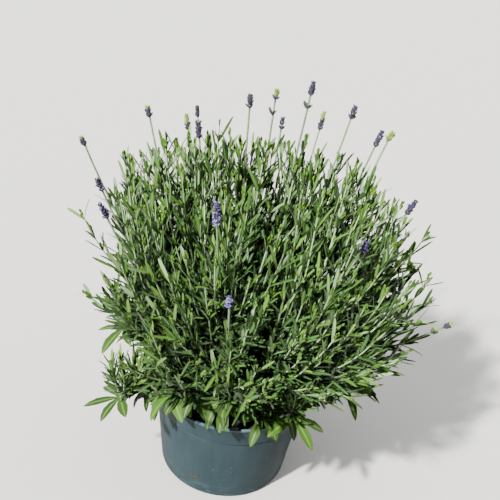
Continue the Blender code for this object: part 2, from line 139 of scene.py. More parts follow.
def coat(tree, shader, colour, layers=(), height=None, strength=0.0, depth=0.0):
    """Finishes a surface: each (share, colour) is laid over the last one, and a height pattern makes it rough."""
    for share, layer in layers:
        colour = add(tree, "ShaderNodeMix", {SHARE: share, FIRST: colour, SECOND: layer}, MIXED, **RGBA)
    tree.links.new(colour, shader.inputs["Base Color"])
    if height is not None:
        bump = add(tree, "ShaderNodeBump", {"Height": height, "Strength": strength, "Distance": depth})
        tree.links.new(bump, shader.inputs["Normal"])


print("mid grey is", round(linear("#808080")[0], 3), "in linear light")

# %% [markdown]
# ## Helpers for surfaces
#
# Almost every surface here is a stack of rings, so its faces can be counted out by one function. A thing that is
# made thousands of times, such as a leaf, has its faces counted once and then shifted for every copy. Natural
# things are never quite smooth, and a sum of plane waves is the simplest noise that moves whole arrays of points.


# %% Rings, directions and copies
def grid_faces(rows, columns):
    """Four-sided faces between neighbouring rings of points: (row, column), the next column, and both a row up."""
    row, column = np.meshgrid(np.arange(rows - 1), np.arange(columns), indexing="ij")
    here, beside = row * columns + column, row * columns + (column + 1) % columns
    return np.stack([here, beside, beside + columns, here + columns], axis=-1).reshape(-1, 4)


def copies(faces, each, count):
    """The faces of count copies of a shape with each points: copy k's corners are numbered each times k further on."""
    return (faces[None] + each * np.arange(count)[:, None, None]).reshape(-1, faces.shape[1])


def unit(vectors):
    """Vectors divided by their length."""
    return vectors / np.maximum(np.linalg.norm(vectors, axis=-1, keepdims=True), 1e-12)


def round_axis(radius, turn, height):
    """Points round the pot's axis: radius cos(turn), radius sin(turn), height."""
    return np.stack(np.broadcast_arrays(radius * np.cos(turn), radius * np.sin(turn), height), axis=-1)


def turned(turns, first, second):
    """Directions turned about a stem: cos(turn) first + sin(turn) second, which both stand square on it."""
    return np.cos(turns)[:, None] * first + np.sin(turns)[:, None] * second


print("a tube of 3 rings of 8 points has", len(grid_faces(3, 8)), "faces")


# %% Noise
def ripple(points, wavelength, seed, waves=14):
    """Smooth noise from -1 to 1: the mean of plane waves that run in random directions, all about one wavelength."""
    source = np.random.default_rng(seed)
    ways = unit(source.normal(size=(waves, 3))) * tau / wavelength / source.uniform(0.7, 1.4, (waves, 1))
    return np.sin(points @ ways.T + source.uniform(0, tau, waves)).mean(axis=-1) * sqrt(2 * waves) / 2


print("noise at the heart:", round(float(ripple(HEART, 10 * MM, 0)), 3))

# %% [markdown]
# ## Floor
#
# The floor is plain and pale. Near the plant it is flat, and far out it rises like a studio's curved backdrop, so
# that it fills the view from every side. It is rings of points whose height grows with the square of the way out.

# %% Floor
FLOOR_REACH, FLOOR_LEVEL, FLOOR_TOP = 24.0, 2.0, 7.2  # metres: its edge, where it starts to rise, and how high
FLOOR_RINGS, FLOOR_TURNS = 33, 96
steps = np.linspace(0, 1, FLOOR_RINGS)
distance = np.concatenate([[0.0, 1.0], FLOOR_LEVEL + (FLOOR_REACH - FLOOR_LEVEL) * steps])[:, None]
height = np.concatenate([[0.0, 0.0], FLOOR_TOP * steps**2])[:, None]
rings = round_axis(distance, tau * np.arange(FLOOR_TURNS) / FLOOR_TURNS, height)
floor_faces = grid_faces(len(distance), FLOOR_TURNS)[:, ::-1]  # taken backwards, so that they face up
floor_mesh = bpy.data.meshes.new("floor")
floor_mesh.from_pydata(rings.reshape(-1, 3).tolist(), [], floor_faces.tolist())
floor_mesh.shade_smooth()
floor = bpy.data.objects.new("floor", floor_mesh)
bpy.context.scene.collection.objects.link(floor)
# Matte wall paint, rolled on: no gloss at all, so it shows only light and shade
wall_paint, _, shader = new_material("matte_white_paint", Roughness=0.95)
shader.inputs["Base Color"].default_value = linear("#7E7E7C")
floor_mesh.materials.append(wall_paint)
print("floor has", len(floor_faces), "faces")

# %% [markdown]
# ## Light
#
# Lavender stands in hard sun, here from the upper left, which makes bright leaf edges and a very dark inside. A
# studio version of that is one strong key light, a large weak lamp opposite, another behind that keeps the back
# from going black, and a faint sky. The key alone would throw a black shadow on the floor, so a very wide light
# that only the floor receives washes that shadow out, and leaves the shade inside the plant as dark as it is.


# %% Lights
def add_light(name, kind, place, power, colour, **settings):
    """A lamp at place, turned so that the way it shines, its own -Z, runs to the middle of the plant."""
    data = bpy.data.lights.new(name, kind)
    data.energy, data.color = power, linear(colour)[:3]
    for key, value in settings.items():
        setattr(data, key, value)
    lamp = bpy.data.objects.new(name, data)
    lamp.location = place
    lamp.rotation_euler = (aim - Vector(place)).to_track_quat("-Z", "Y").to_euler()
    bpy.context.scene.collection.objects.link(lamp)
    return lamp


# name, kind, place in metres, power and colour
add_light("key", "SUN", (-1.9, -2.3, 3.3), 32.0, "#FFFCF6", angle=radians(3))
add_light("fill", "AREA", (1.6, -1.4, 0.9), 3.0, "#E8F0FF", size=1.6)
add_light("back_fill", "AREA", (-1.2, 2.2, 1.5), 12.0, "#F4F6FF", size=1.8)
wash = add_light("floor_wash", "SUN", (0, 0, 4), 9.0, "#FFFFFF", angle=radians(100))
floor_only = bpy.data.collections.new("floor_only")
floor_only.objects.link(floor)
wash.light_linking.receiver_collection = floor_only
SKY_STRENGTH = 0.03
world = bpy.data.worlds.new("studio")
world.use_nodes = True
sky = world.node_tree.nodes["Background"]
sky.inputs["Color"].default_value, sky.inputs["Strength"].default_value = linear("#FFFFFF"), SKY_STRENGTH
bpy.context.scene.world = world

# %% [markdown]
# ## Meshes from arrays
#
# A piece is joined from parts. A part is an array of points, a few arrays of faces (all the faces in one array
# have the same number of corners), a material number, and one value per point for each attribute that its
# material reads. Blender takes whole arrays with foreach_set, so even a big piece is made at once.

# %% Joining parts
ATTRIBUTES = ("tint", "young", "under")


def join(parts):
    """Parts (points, faces, material number, attributes) as one: each part's corners count on from the last part's."""
    points = np.concatenate([part[0] for part in parts])
    starts = np.cumsum([0] + [len(part[0]) for part in parts[:-1]])
    faces, numbers = [], []
    for part, start in zip(parts, starts):
        faces += [group + start for group in part[1]]
        numbers += [np.full(len(group), part[2]) for group in part[1]]
    values = {}
    for name in ATTRIBUTES:
        values[name] = np.concatenate([np.broadcast_to(part[3].get(name, 0.0), len(part[0])) for part in parts])
    return points, faces, np.concatenate(numbers), values


print("each part may carry the attributes", ATTRIBUTES)


# %% Making a piece
def make_piece(name, parts, materials, slot, *nodes, sharp=50):
    """A piece made of parts. It rides on the plant's one body and stands for the CAD nodes named. Each face starts
    where the corners of all the faces before it end: that is the running sum of their sizes."""
    points, faces, numbers, values = join(parts)
    corners = np.concatenate([group.ravel() for group in faces])
    sizes = np.concatenate([np.full(len(group), group.shape[1]) for group in faces])
    mesh = bpy.data.meshes.new(name)
    mesh.vertices.add(len(points))
    mesh.vertices.foreach_set("co", points.astype(np.float32).ravel())
    mesh.loops.add(len(corners))
    mesh.loops.foreach_set("vertex_index", corners.astype(np.int32))
    mesh.polygons.add(len(sizes))
    mesh.polygons.foreach_set("loop_start", (np.cumsum(sizes) - sizes).astype(np.int32))
    mesh.polygons.foreach_set("material_index", numbers.astype(np.int32))
    for key, data in values.items():
        mesh.attributes.new(key, "FLOAT", "POINT").data.foreach_set("value", data.astype(np.float32))
    for material in materials:
        mesh.materials.append(material)
    mesh.update(calc_edges=True)
    mesh.validate()
    mesh.shade_smooth()
    mesh.set_sharp_from_angle(angle=radians(sharp))
    piece = bpy.data.objects.new(name, mesh)
    bpy.context.scene.collection.objects.link(piece)
    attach(piece, "root")
    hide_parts(*nodes)
    return piece


print("edges sharper than 50 degrees stay sharp, unless a piece says otherwise")

# %% [markdown]
# ## Pot
#
# The pot is injection-moulded polypropylene with a wall of 1.6 mm: a taper, a straight collar band under the rim
# and a rolled lip. A pot is a turned shape, so it is one outline swept round its axis. Its corners are rounded
# by short curves in the outline, because a moulded edge catches a thin line of light.

# %% Pot measures
WALL = 1.6 * MM
COLLAR = 27 * MM  # height of the band
STEP = 1.4 * MM  # how far the band stands out
UNDERCUT = 0.5 * MM  # depth of the groove under the band, where the mould's two halves meet
UNDERCUT_LOW, UNDERCUT_FULL = 2.4 * MM, 1.4 * MM  # how far below the band it starts and is full
LIP = 1.4 * MM  # how far the lip stands out from the band
LIP_HEIGHT = 3.0 * MM
BASE_RADIUS = 78.5 * MM
FOOT_CORNER = 5 * MM
FOOT_WIDTH = 8 * MM
FOOT_GROOVE = 0.5 * MM  # depth of the line that the mould's base ring leaves
GROOVE_HEIGHT = 8.5 * MM
GROOVE_EDGE = 1.2 * MM  # half its width
FLOOR = 2 * MM
FLOOR_RISE = 4 * MM
PAD_RADIUS = 45 * MM  # the flat middle that stands on the ground
BAND_RADIUS = LIP_RADIUS - LIP


def wall_radius(z):
    """The outside radius below the collar: a straight line from the base's radius to the band's."""
    return BASE_RADIUS + (BAND_RADIUS - STEP - BASE_RADIUS) * z / RIM_HEIGHT


collar_foot = RIM_HEIGHT - COLLAR
wall_top = wall_radius(collar_foot)
foot_inner = wall_radius(FOOT_CORNER) - FOOT_CORNER - FOOT_WIDTH
print(f"wall {wall_radius(0) / MM:.1f} mm out at the base and {wall_top / MM:.1f} mm at the collar")


# %% [markdown]
# ### Outline and sweep
#
# An outline is a list of corners, each with its radius, its height and how big its rounding is. The same two
# functions make the pot, the soil and the wood.


# %% Outline and sweep
def rounded(outline, steps=5):
    """Each corner of (radius, height, size) as a curve: (1 - t)^2 and t^2 of the points a size before and after it,
    and 2t(1 - t) of the corner itself."""
    shape, corners = [], [np.array(corner[:2]) for corner in outline]
    t = np.linspace(0, 1, steps)[:, None]
    for k, (here, size) in enumerate(zip(corners, [corner[2] for corner in outline])):
        if size == 0:
            shape.append(here)
            continue
        low = here + unit(corners[k - 1] - here) * size
        high = here + unit(corners[(k + 1) % len(corners)] - here) * size
        shape += list(low * (1 - t) ** 2 + here * 2 * t * (1 - t) + high * t**2)
    return np.array(shape)


def swept(outline, steps):
    """The closed surface that (radius r, height z) sweeps round Z: r cos(turn), r sin(turn), z. Its ends are poles."""
    inner = outline[1:-1]
    rings = round_axis(inner[:, :1], tau * np.arange(steps) / steps, inner[:, 1:])
    points = np.concatenate([rings.reshape(-1, 3), [[0, 0, outline[0][1]]], [[0, 0, outline[-1][1]]]])
    k = np.arange(steps)
    after = (k + 1) % steps
    first, last = len(points) - 2, len(points) - 1
    end = (len(inner) - 1) * steps
    fans = [np.stack([np.full(steps, first), after, k], 1), np.stack([np.full(steps, last), end + k, end + after], 1)]
    return points, [grid_faces(len(inner), steps), np.concatenate(fans)]


print("a square's corners, rounded, are", len(rounded([(0, 0, 0), (1, 0, 0.1), (1, 1, 0.1), (0, 1, 0)])), "points")

# %% Pot outline
POT_STEPS = 192
underside = [
    (0, 0, 0),
    (PAD_RADIUS, 0, 1 * MM),
    (PAD_RADIUS + FLOOR_RISE, FLOOR_RISE, 1.5 * MM),
    (foot_inner - FLOOR_RISE, FLOOR_RISE, 1.5 * MM),
    (foot_inner, 0, 1 * MM),
]
outside = [
    (wall_radius(0), 0, FOOT_CORNER),
    (wall_radius(GROOVE_HEIGHT - GROOVE_EDGE), GROOVE_HEIGHT - GROOVE_EDGE, 0.3 * MM),
    (wall_radius(GROOVE_HEIGHT) - FOOT_GROOVE, GROOVE_HEIGHT, 0.3 * MM),
    (wall_radius(GROOVE_HEIGHT + GROOVE_EDGE), GROOVE_HEIGHT + GROOVE_EDGE, 0.3 * MM),
    (wall_top, collar_foot - UNDERCUT_LOW, 0.4 * MM),
    (wall_top - UNDERCUT, collar_foot - UNDERCUT_FULL, 0.3 * MM),
    (wall_top - UNDERCUT, collar_foot - 0.1 * MM, 0.3 * MM),
    (wall_top + STEP, collar_foot, 0.25 * MM),
    (BAND_RADIUS, RIM_HEIGHT - LIP_HEIGHT - LIP / 2, 0.6 * MM),
    (LIP_RADIUS, RIM_HEIGHT - LIP_HEIGHT, 0.8 * MM),
    (LIP_RADIUS, RIM_HEIGHT, 0.9 * MM),
    (BAND_RADIUS - WALL, RIM_HEIGHT, 0.9 * MM),
]
inside = [
    (wall_top - WALL, collar_foot, 2 * MM),
    (wall_radius(0) - WALL, FLOOR, FOOT_CORNER),
    *[(r, z + FLOOR, size) for r, z, size in reversed(underside)],
]
pot_outline = rounded(underside + outside + inside)
pot_points, pot_faces = swept(pot_outline, POT_STEPS)
print("pot outline has", len(pot_outline), "points")

# %% [markdown]
# ### Pot plastic
#
# Blue-grey polypropylene, injected into a smooth mould: satin, a little uneven in gloss, with a faint vertical
# flow. In use it has picked up dust, pale specks, smudges of compost and rubbed arcs near the foot. A pale band
# along the lip is a painted highlight, for the thin line of light that the rolled lip catches. Each mark is a
# noise with features of its own real size, so they are listed in a table and made in a loop.

# %% Pot noises
# Moulded polypropylene: to the eye it is even and soft, with a broad satin highlight and no sparkle
pot_plastic, tree, shader = new_material("moulded_polypropylene", IOR=1.49, Specular_IOR_Level=0.08)
place = add(tree, "ShaderNodeTexCoord", output="Object")
height = add(tree, "ShaderNodeSeparateXYZ", {0: place}, "Z")
POT_NOISES = {  # size of the features, detail, stretch, shift, and the values where the mark starts and is full
    "cloud": (60 * MM, 3, (1, 1, 1), 0, 0.35, 0.65),
    "flow": (6 * MM, 4, (1, 1, 0.08), 0, 0.35, 0.7),
    "dust": (9 * MM, 6, (1, 1, 1), 3, 0.5, 0.75),
    "smudge": (14 * MM, 2, (1, 1, 2.2), 7, 0.72, 0.78),
    "crumb": (2 * MM, 3, (1, 1, 1), 0, 0.42, 0.56),
    "smear": (1.5 * MM, 3, (1, 1, 1), 5, 0.46, 0.54),
    "rub": (3 * MM, 2, (0.12, 0.12, 3.5), 11, 0.62, 0.72),
    # the next noise makes the painted highlight along the lip patchy
    "lip_highlight": (20 * MM, 3, (1, 1, 1), 0, 0.3, 0.7),
    "gloss": (25 * MM, 4, (1, 1, 1), 2, 0.3, 0.7),
}
noise = {}
for key, (size, detail, stretch, shift, start, full) in POT_NOISES.items():
    moved = add(tree, "ShaderNodeMapping", {"Vector": place, "Scale": stretch, "Location": (shift,) * 3})
    value = add(tree, "ShaderNodeTexNoise", {"Vector": moved, "Scale": 1 / size, "Detail": detail})
    noise[key] = add(tree, "ShaderNodeMapRange", {"Value": value, "From Min": start, "From Max": full})
print("pot has", len(noise), "noises")

# %% Where each mark is
DUST_TOP = 40 * MM  # dust comes up from the ground this far
RUB_TOP, RUB_FULL = 26 * MM, 8 * MM  # scratches start at one height and are full at the other
# Painted highlight: a pale band along the lip starts this far below the rim and is full here
LIP_HIGHLIGHT_LOW, LIP_HIGHLIGHT_FULL = 3.2 * MM, 2.4 * MM  # below the rim
SPECK_SPACING = 7 * MM
SPECK_EDGE, SPECK_CORE = 0.055, 0.03  # shares of the spacing: a dot of 0.5 mm
SMUDGE = (-29.3 * MM, -76.3 * MM, 27 * MM)  # the middle of one bigger smudge, 12 mm by 4 mm
SMUDGE_EDGE, SMUDGE_CORE = 8 * MM, 5 * MM
near_floor = add(tree, "ShaderNodeMapRange", {"Value": height, "From Min": DUST_TOP, "From Max": 0.0, "To Max": 0.18})
near_foot = add(tree, "ShaderNodeMapRange", {"Value": height, "From Min": RUB_TOP, "From Max": RUB_FULL})
# The painted highlight along the lip: a band at the top of the pot, made patchy by a noise
lip_highlight_edge = {"Value": height, "From Min": RIM_HEIGHT - LIP_HIGHLIGHT_LOW, "From Max": RIM_HEIGHT - LIP_HIGHLIGHT_FULL}
lip_highlight_band = add(tree, "ShaderNodeMapRange", lip_highlight_edge)
lip_highlight_patches = add(tree, "ShaderNodeMapRange", {"Value": noise["lip_highlight"], "To Min": 0.3, "To Max": 0.6})
# Specks: cells with a pale dot in their middle, in a third of the cells
cells = add(tree, "ShaderNodeTexVoronoi", {"Vector": place, "Scale": 1 / SPECK_SPACING}, "Distance")
dots = add(tree, "ShaderNodeMapRange", {"Value": cells, "From Min": SPECK_EDGE, "From Max": SPECK_CORE})
pick = add(tree, "ShaderNodeSeparateColor", {0: cells.node.outputs["Color"]})
chosen = add(tree, "ShaderNodeMapRange", {"Value": pick, "From Min": 0.70, "From Max": 0.72})
# The bigger smudge: the distance from its middle, with heights counted three times
centred = {"Vector": place, "Location": (-SMUDGE[0], -SMUDGE[1], -3 * SMUDGE[2]), "Scale": (1, 1, 3)}
spot = add(tree, "ShaderNodeMapping", centred)
gap = add(tree, "ShaderNodeVectorMath", {0: spot}, "Value", operation="LENGTH")
near_smudge = add(tree, "ShaderNodeMapRange", {"Value": gap, "From Min": SMUDGE_EDGE, "From Max": SMUDGE_CORE})
sparse = add(tree, "ShaderNodeMath", {0: noise["smudge"], 1: noise["crumb"]}, operation="MULTIPLY")
smear = add(tree, "ShaderNodeMath", {0: near_smudge, 1: noise["smear"]}, operation="MULTIPLY")
smudges = add(tree, "ShaderNodeMath", {0: sparse, 1: smear}, operation="MAXIMUM")
print("specks are", SPECK_SPACING / MM, "mm apart")

# %% Pot colour and gloss
POT_MARKS = [  # the factors whose product is a mark's strength, and its colour
    ((noise["flow"], 0.12), "#24363D"),
    ((noise["dust"], near_floor), "#454B47"),
    ((dots, chosen, 0.8), "#A4ABA6"),
    ((smudges, 0.9), "#33291F"),
    ((noise["rub"], near_foot, 0.7), "#4A5A5F"),
    # painted highlight along the lip
    ((lip_highlight_band, lip_highlight_patches), "#3E5158"),
]
marks = []
for factors, mark in POT_MARKS:
    strength = factors[0]
    for factor in factors[1:]:
        strength = add(tree, "ShaderNodeMath", {0: strength, 1: factor}, operation="MULTIPLY")
    marks.append((strength, mark))
clean = add(tree, "ShaderNodeMix", {SHARE: noise["cloud"], FIRST: "#152024", SECOND: "#1A2529"}, MIXED, **RGBA)
coat(tree, shader, clean, marks)
satin = add(tree, "ShaderNodeMapRange", {"Value": noise["gloss"], "To Min": 0.50, "To Max": 0.62})
rough = add(tree, "ShaderNodeMath", {0: smudges, 1: 0.4, 2: satin}, operation="MULTIPLY_ADD")
tree.links.new(rough, shader.inputs["Roughness"])
grain = add(tree, "ShaderNodeTexNoise", {"Vector": place, "Scale": 1 / (0.8 * MM), "Detail": 2.0})
bump = add(tree, "ShaderNodeBump", {"Height": grain, "Strength": 0.06, "Distance": 0.2 * MM})
crust = {"Height": smudges, "Strength": 0.5, "Distance": 0.3 * MM, "Normal": bump}
tree.links.new(add(tree, "ShaderNodeBump", crust), shader.inputs["Normal"])
print("pot plastic has", len(tree.nodes), "nodes")

# %% [markdown]
# ### The pot with its drain holes
#
# The drain holes don't follow the sweep, so they are cut with a Boolean. Its result is made the mesh itself, so
# that the pot keeps no modifier and needs no cutters afterwards.

# %% Make the pot
DRAIN_RADIUS = 4.5 * MM
DRAIN_HOLES = 8
pot = make_piece("pot_shell", [(pot_points, pot_faces, 0, {})], [pot_plastic], "pot_plastic", "pot", sharp=40)
hole_ring = (PAD_RADIUS + foot_inner) / 2
rod = [(0, -FLOOR), (DRAIN_RADIUS, -FLOOR), (DRAIN_RADIUS, 4 * FLOOR), (0, 4 * FLOOR)]
rod_points, rod_faces = swept(np.array(rod), 32)
rod_faces = [face.tolist() for group in rod_faces for face in group]
cutters = []
for k in range(DRAIN_HOLES):
    angle = tau * (k + 0.5) / DRAIN_HOLES
    shifted = rod_points + [hole_ring * cos(angle), hole_ring * sin(angle), 0]
    cutter_mesh = bpy.data.meshes.new("drain_cutter")
    cutter_mesh.from_pydata(shifted.tolist(), [], rod_faces)
    cutters.append(bpy.data.objects.new("drain_cutter", cutter_mesh))
    bpy.context.scene.collection.objects.link(cutters[-1])
    cut = pot.modifiers.new("drain", "BOOLEAN")
    cut.operation, cut.object = "DIFFERENCE", cutters[-1]
bpy.context.view_layer.update()
holed = bpy.data.meshes.new_from_object(pot.evaluated_get(bpy.context.evaluated_depsgraph_get()))
pot.modifiers.clear()
pot.data = holed
for cutter in cutters:
    bpy.data.objects.remove(cutter, do_unlink=True)
print("pot has", len(pot.data.polygons), "faces and", DRAIN_HOLES, "holes")

# %% [markdown]
# ## Potting soil
#
# Moist peat compost: a loose, dark crumb with bits of bark and a few pale grains of perlite. The bed's top is a
# turned surface that noise lifts by a millimetre or two. On it lie separate crumbs, each a squashed block
# with its own size and turn, because the silhouette of loose grains is what makes soil look like soil.

# %% Soil bed
soil_low, soil_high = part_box("potting_soil")
SOIL_RADIUS = (soil_high.x - soil_low.x) / 2
SOIL_TOP = soil_high.z
SOIL_MOUND = 4 * MM
SOIL_GAP = 0.6 * MM  # between the soil and the plastic


def soil_height(r):
    """The bed's mean height: a low mound that falls to the wall with the square of the radius."""
    return SOIL_TOP - SOIL_MOUND * (r / SOIL_RADIUS) ** 2


LOW, HIGH = FLOOR + SOIL_GAP, FLOOR + FLOOR_RISE + SOIL_GAP
CORNER_TOP = 9 * MM  # the soil leaves the pot's rounded foot corner free up to here
BED_RINGS, BED_STEPS = 46, 128
bed = [(0, LOW), (PAD_RADIUS, LOW), (PAD_RADIUS + FLOOR_RISE, HIGH), (foot_inner - FLOOR_RISE, HIGH)]
bed += [(foot_inner, LOW), (foot_inner + FOOT_WIDTH - 1 * MM, LOW)]
bed += [(wall_radius(CORNER_TOP) - WALL - 0.8 * MM, CORNER_TOP), (wall_top - WALL - SOIL_GAP, collar_foot)]
bed += [(r, soil_height(r)) for r in np.linspace(SOIL_RADIUS - 0.4 * MM, 0, BED_RINGS)]
soil_points, soil_faces = swept(np.array(bed), BED_STEPS)
# Lumps of 11 mm, and smaller ones of 4 mm on them, but nothing that comes up to the crumbs' tops
lift = 1.3 * MM * ripple(soil_points, 11 * MM, 1) + 0.8 * MM * ripple(soil_points, 4 * MM, 2)
on_top = soil_points[:, 2] > collar_foot + 1 * MM
soil_points[:, 2] += np.where(on_top, np.minimum(lift, 2 * MM) - 0.8 * MM, 0)
print("soil is", round(SOIL_RADIUS * 2, 3), "m across")

# %% [markdown]
# ### Crumbs
#
# A block has eight corners and six faces, so thousands of them cost little. A few grains also stick to the
# outside of the pot, where compost was spilled.

# %% Crumbs
CRUMBS = 2400
SMALLEST, LARGER = 0.6 * MM, 1.5 * MM  # the smallest crumb, and how much larger the largest may be
CRUMB_RAGGED = 0.6, 1.25  # how far out a crumb's corners may be, for a size of 1
CRUMB_SQUASH = np.array([1.0, 0.75, 0.55])
PERLITE_SHARE = 0.025
BED_REACH = 0.975  # crumbs lie within this share of the bed's radius
BLOCK = unit(np.array([(x, y, z) for z in (-1, 1) for x, y in ((-1, -1), (1, -1), (1, 1), (-1, 1))], float))
BLOCK_FACES = np.array([(3, 2, 1, 0), (4, 5, 6, 7), (0, 1, 5, 4), (1, 2, 6, 5), (2, 3, 7, 6), (3, 0, 4, 7)])
SPILLS = [(-111, 27, 26), (-103, 8, 7), (-61, 33, 3), (75, 30, 12)]  # degrees round the pot, mm up, grains


def crumbs(middles, size):
    """Blocks at the middles: eight corners at a random share of a size, squashed, and turned by three random axes."""
    count = len(middles)
    corners = BLOCK * rng.uniform(*CRUMB_RAGGED, (count, 8, 1)) * CRUMB_SQUASH
    tilt = rng.normal(size=(count, 3, 3))
    across = unit(tilt[:, 0])
    away = unit(np.cross(across, tilt[:, 1]))
    axes = np.stack([across, away, np.cross(across, away)], axis=1)
    points = (corners @ axes) * size[:, None, None] + middles[:, None]
    tint = np.repeat(rng.random(count), 8)
    pale = np.repeat((rng.random(count) > 1 - PERLITE_SHARE) * 1.0, 8)
    return points.reshape(-1, 3), [copies(BLOCK_FACES, 8, count)], 0, {"tint": tint, "young": pale}


def bed_places(count, size):
    """Places spread evenly on the bed: the radius grows with the square root of a random number."""
    r, angle = SOIL_RADIUS * BED_REACH * np.sqrt(rng.random(count)), rng.uniform(0, tau, count)
    return round_axis(r, angle, soil_height(r) + size * 0.2 - 0.6 * MM)


def wall_places(angle, height, count):
    """Places on the pot's wall, scattered by chance over a patch 10 mm wide and 3 mm high."""
    z = height + rng.normal(0, 0.8 * MM, count)
    turn = angle + rng.normal(0, 2.8 * MM, count) / wall_radius(height)
    return round_axis(wall_radius(z), turn, z)


grain_size = SMALLEST + LARGER * rng.random(CRUMBS) ** 3
soil_parts = [(soil_points, soil_faces, 0, {}), crumbs(bed_places(CRUMBS, grain_size), grain_size)]
for angle, height, count in SPILLS:
    soil_parts.append(crumbs(wall_places(radians(angle), height * MM, count), rng.uniform(0.4, 0.9, count) * MM))
print(CRUMBS, "crumbs from", round(grain_size.min() / MM, 1), "to", round(grain_size.max() / MM, 1), "mm")

# %% [markdown]
# ### Soil material
#
# Peat is nearly black when moist and brown where it has dried, so its colour changes from crumb to crumb. The
# attribute called tint holds a random number for each crumb, and young marks the perlite.

# %% Soil material and piece
# Screened peat: to the eye it swallows light, with no gloss, and its fibres only roughen the shade
peat, tree, shader = new_material("screened_peat_compost", Roughness=0.93)
place = add(tree, "ShaderNodeTexCoord", output="Object")
tint = add(tree, "ShaderNodeAttribute", output="Fac", attribute_name="tint")
perlite = add(tree, "ShaderNodeAttribute", output="Fac", attribute_name="young")
fibre = add(tree, "ShaderNodeTexNoise", {"Vector": place, "Scale": 1 / (1.2 * MM), "Detail": 6.0})
patch = add(tree, "ShaderNodeTexNoise", {"Vector": place, "Scale": 1 / (15 * MM), "Detail": 3.0})
dried = add(tree, "ShaderNodeMapRange", {"Value": tint, "From Min": 0.55, "From Max": 1.0})
strand = add(tree, "ShaderNodeMapRange", {"Value": fibre, "From Min": 0.52, "From Max": 0.72})
colour = add(tree, "ShaderNodeMix", {SHARE: patch, FIRST: "#070503", SECOND: "#120D09"}, MIXED, **RGBA)
browns = [(dried, "#1A120C"), (strand, "#160F0A"), (perlite, "#CFC9BC")]
coat(tree, shader, colour, browns, fibre, strength=0.8, depth=0.8 * MM)
bed_piece = make_piece("compost_bed", soil_parts, [peat], "soil", "potting_soil", sharp=35)
print("soil has", len(bed_piece.data.polygons), "faces")

# %% [markdown]
# ## Paths of the shoots
#
# A lavender shoot leaves the crown outwards and then turns up towards the light. That is a quadratic curve with
# three control points: its foot, a handle that lies more outwards than upwards, and its tip. Foot and tip are
# read from the CAD node, as the points that are nearest to the heart and furthest from the foot.

# %% Paths
BEND_OUT, BEND_UP = 0.60, 0.42  # the handle's share of the way out and of the way up
FOOT_SPREAD, TIP_SPREAD = 4 * MM, 2.5 * MM  # points this near belong to the same end of a shoot


def node_points(name):
    """The different vertices of a CAD node."""
    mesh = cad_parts[name].data
    flat = np.empty(len(mesh.vertices) * 3, np.float32)
    mesh.vertices.foreach_get("co", flat)
    return np.unique(flat.reshape(-1, 3).round(5), axis=0).astype(float)


def end_of(points, start, far, spread):
    """One end of a node: the mean of the points within spread of the one furthest from start, or nearest to it."""
    away = np.linalg.norm(points - start, axis=1)
    end = points[away.argmax() if far else away.argmin()]
    return points[np.linalg.norm(points - end, axis=1) < spread].mean(axis=0)


def shoot_controls(foot, tip):
    """A shoot's foot, handle and tip: the handle is BEND_OUT of the way out and BEND_UP of the way up."""
    return np.array([foot, foot + (tip - foot) * [BEND_OUT, BEND_OUT, BEND_UP], tip])


def on_curve(controls, t):
    """Points on the curve: the controls blended by (1 - t)^2, 2t(1 - t) and t^2."""
    t = np.asarray(t, float)[:, None]
    return controls[0] * (1 - t) ** 2 + controls[1] * 2 * t * (1 - t) + controls[2] * t**2


def along_curve(controls, t):
    """The curve's direction: (1 - t) of the way from foot to handle and t of the way from handle to tip."""
    t = np.asarray(t, float)[:, None]
    return unit((controls[1] - controls[0]) * (1 - t) + (controls[2] - controls[1]) * t)


main_shoots = {}
for name in sorted(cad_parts):
    if name.startswith(("flower_stalk", "leafy_shoot", "basal_shoot")):
        points = node_points(name)
        foot = end_of(points, HEART, False, FOOT_SPREAD)
        main_shoots[name] = shoot_controls(foot, end_of(points, foot, True, TIP_SPREAD))
print(len(main_shoots), "main shoots")

# %% [markdown]
# ## Stems and leaves as functions
#
# A lavender stem is square with blunt corners, so a stem is a ring of eight points, two at each corner, carried
# along its path. A leaf is long and narrow, widest past its middle, folded a little along its midrib, and curves
# back away from the stem. It is closed all round: each ring has a left edge, the midrib on top, a right edge and
# the midrib below. That is 25 faces for each leaf, few enough for thousands of leaves.


# %% Stem shape
BLUNTNESS = radians(16)  # half the angle between the two points of a corner
CORNER_TURNS = np.array([sign * BLUNTNESS + pi / 4 + k * pi / 2 for k in range(4) for sign in (-1, 1)])


def stem_part(controls, foot_radius, tip_radius, rings, number, tint):
    """A closed square stem: curve(t) + radius(t) (cos(turn) aside + sin(turn) across), where the radius falls in a
    straight line from foot to tip, and aside and across stand square on the curve."""
    t = np.linspace(0, 1, rings)
    middle, ahead = on_curve(controls, t), along_curve(controls, t)
    chord = unit(controls[2] - controls[0])
    aside = unit(np.cross(ahead, np.array([chord[1] + 0.3, -chord[0] + 0.2, 0.1])))
    across = np.cross(ahead, aside)
    radius = foot_radius + (tip_radius - foot_radius) * t
    ring = turned(CORNER_TURNS, aside[:, None], across[:, None])
    points = (middle[:, None] + ring * radius[:, None, None]).reshape(-1, 3)
    caps = np.array([np.arange(8)[::-1], (rings - 1) * 8 + np.arange(8)])
    return points, [grid_faces(rings, 8), caps], number, {"tint": tint, "young": np.repeat(t, 8)}


print("a stem's eight points are at", np.degrees(CORNER_TURNS).round().tolist(), "degrees")

# %% Leaf shape
LEAF_STATIONS = np.array([0.0, 0.14, 0.36, 0.62, 0.84, 0.96])  # shares of the length
NARROW = np.array([0.30, 0.60, 0.90, 1.0, 0.84, 0.46])  # half-width at each station, as a share
BROAD = np.array([0.22, 0.40, 0.84, 1.0, 0.66, 0.26])
LEAF_THICKNESS = 0.55 * MM
RING_UNDER = [0.5, 0.0, 0.5, 1.0]  # the attribute called under: left edge, midrib above, right edge, midrib below


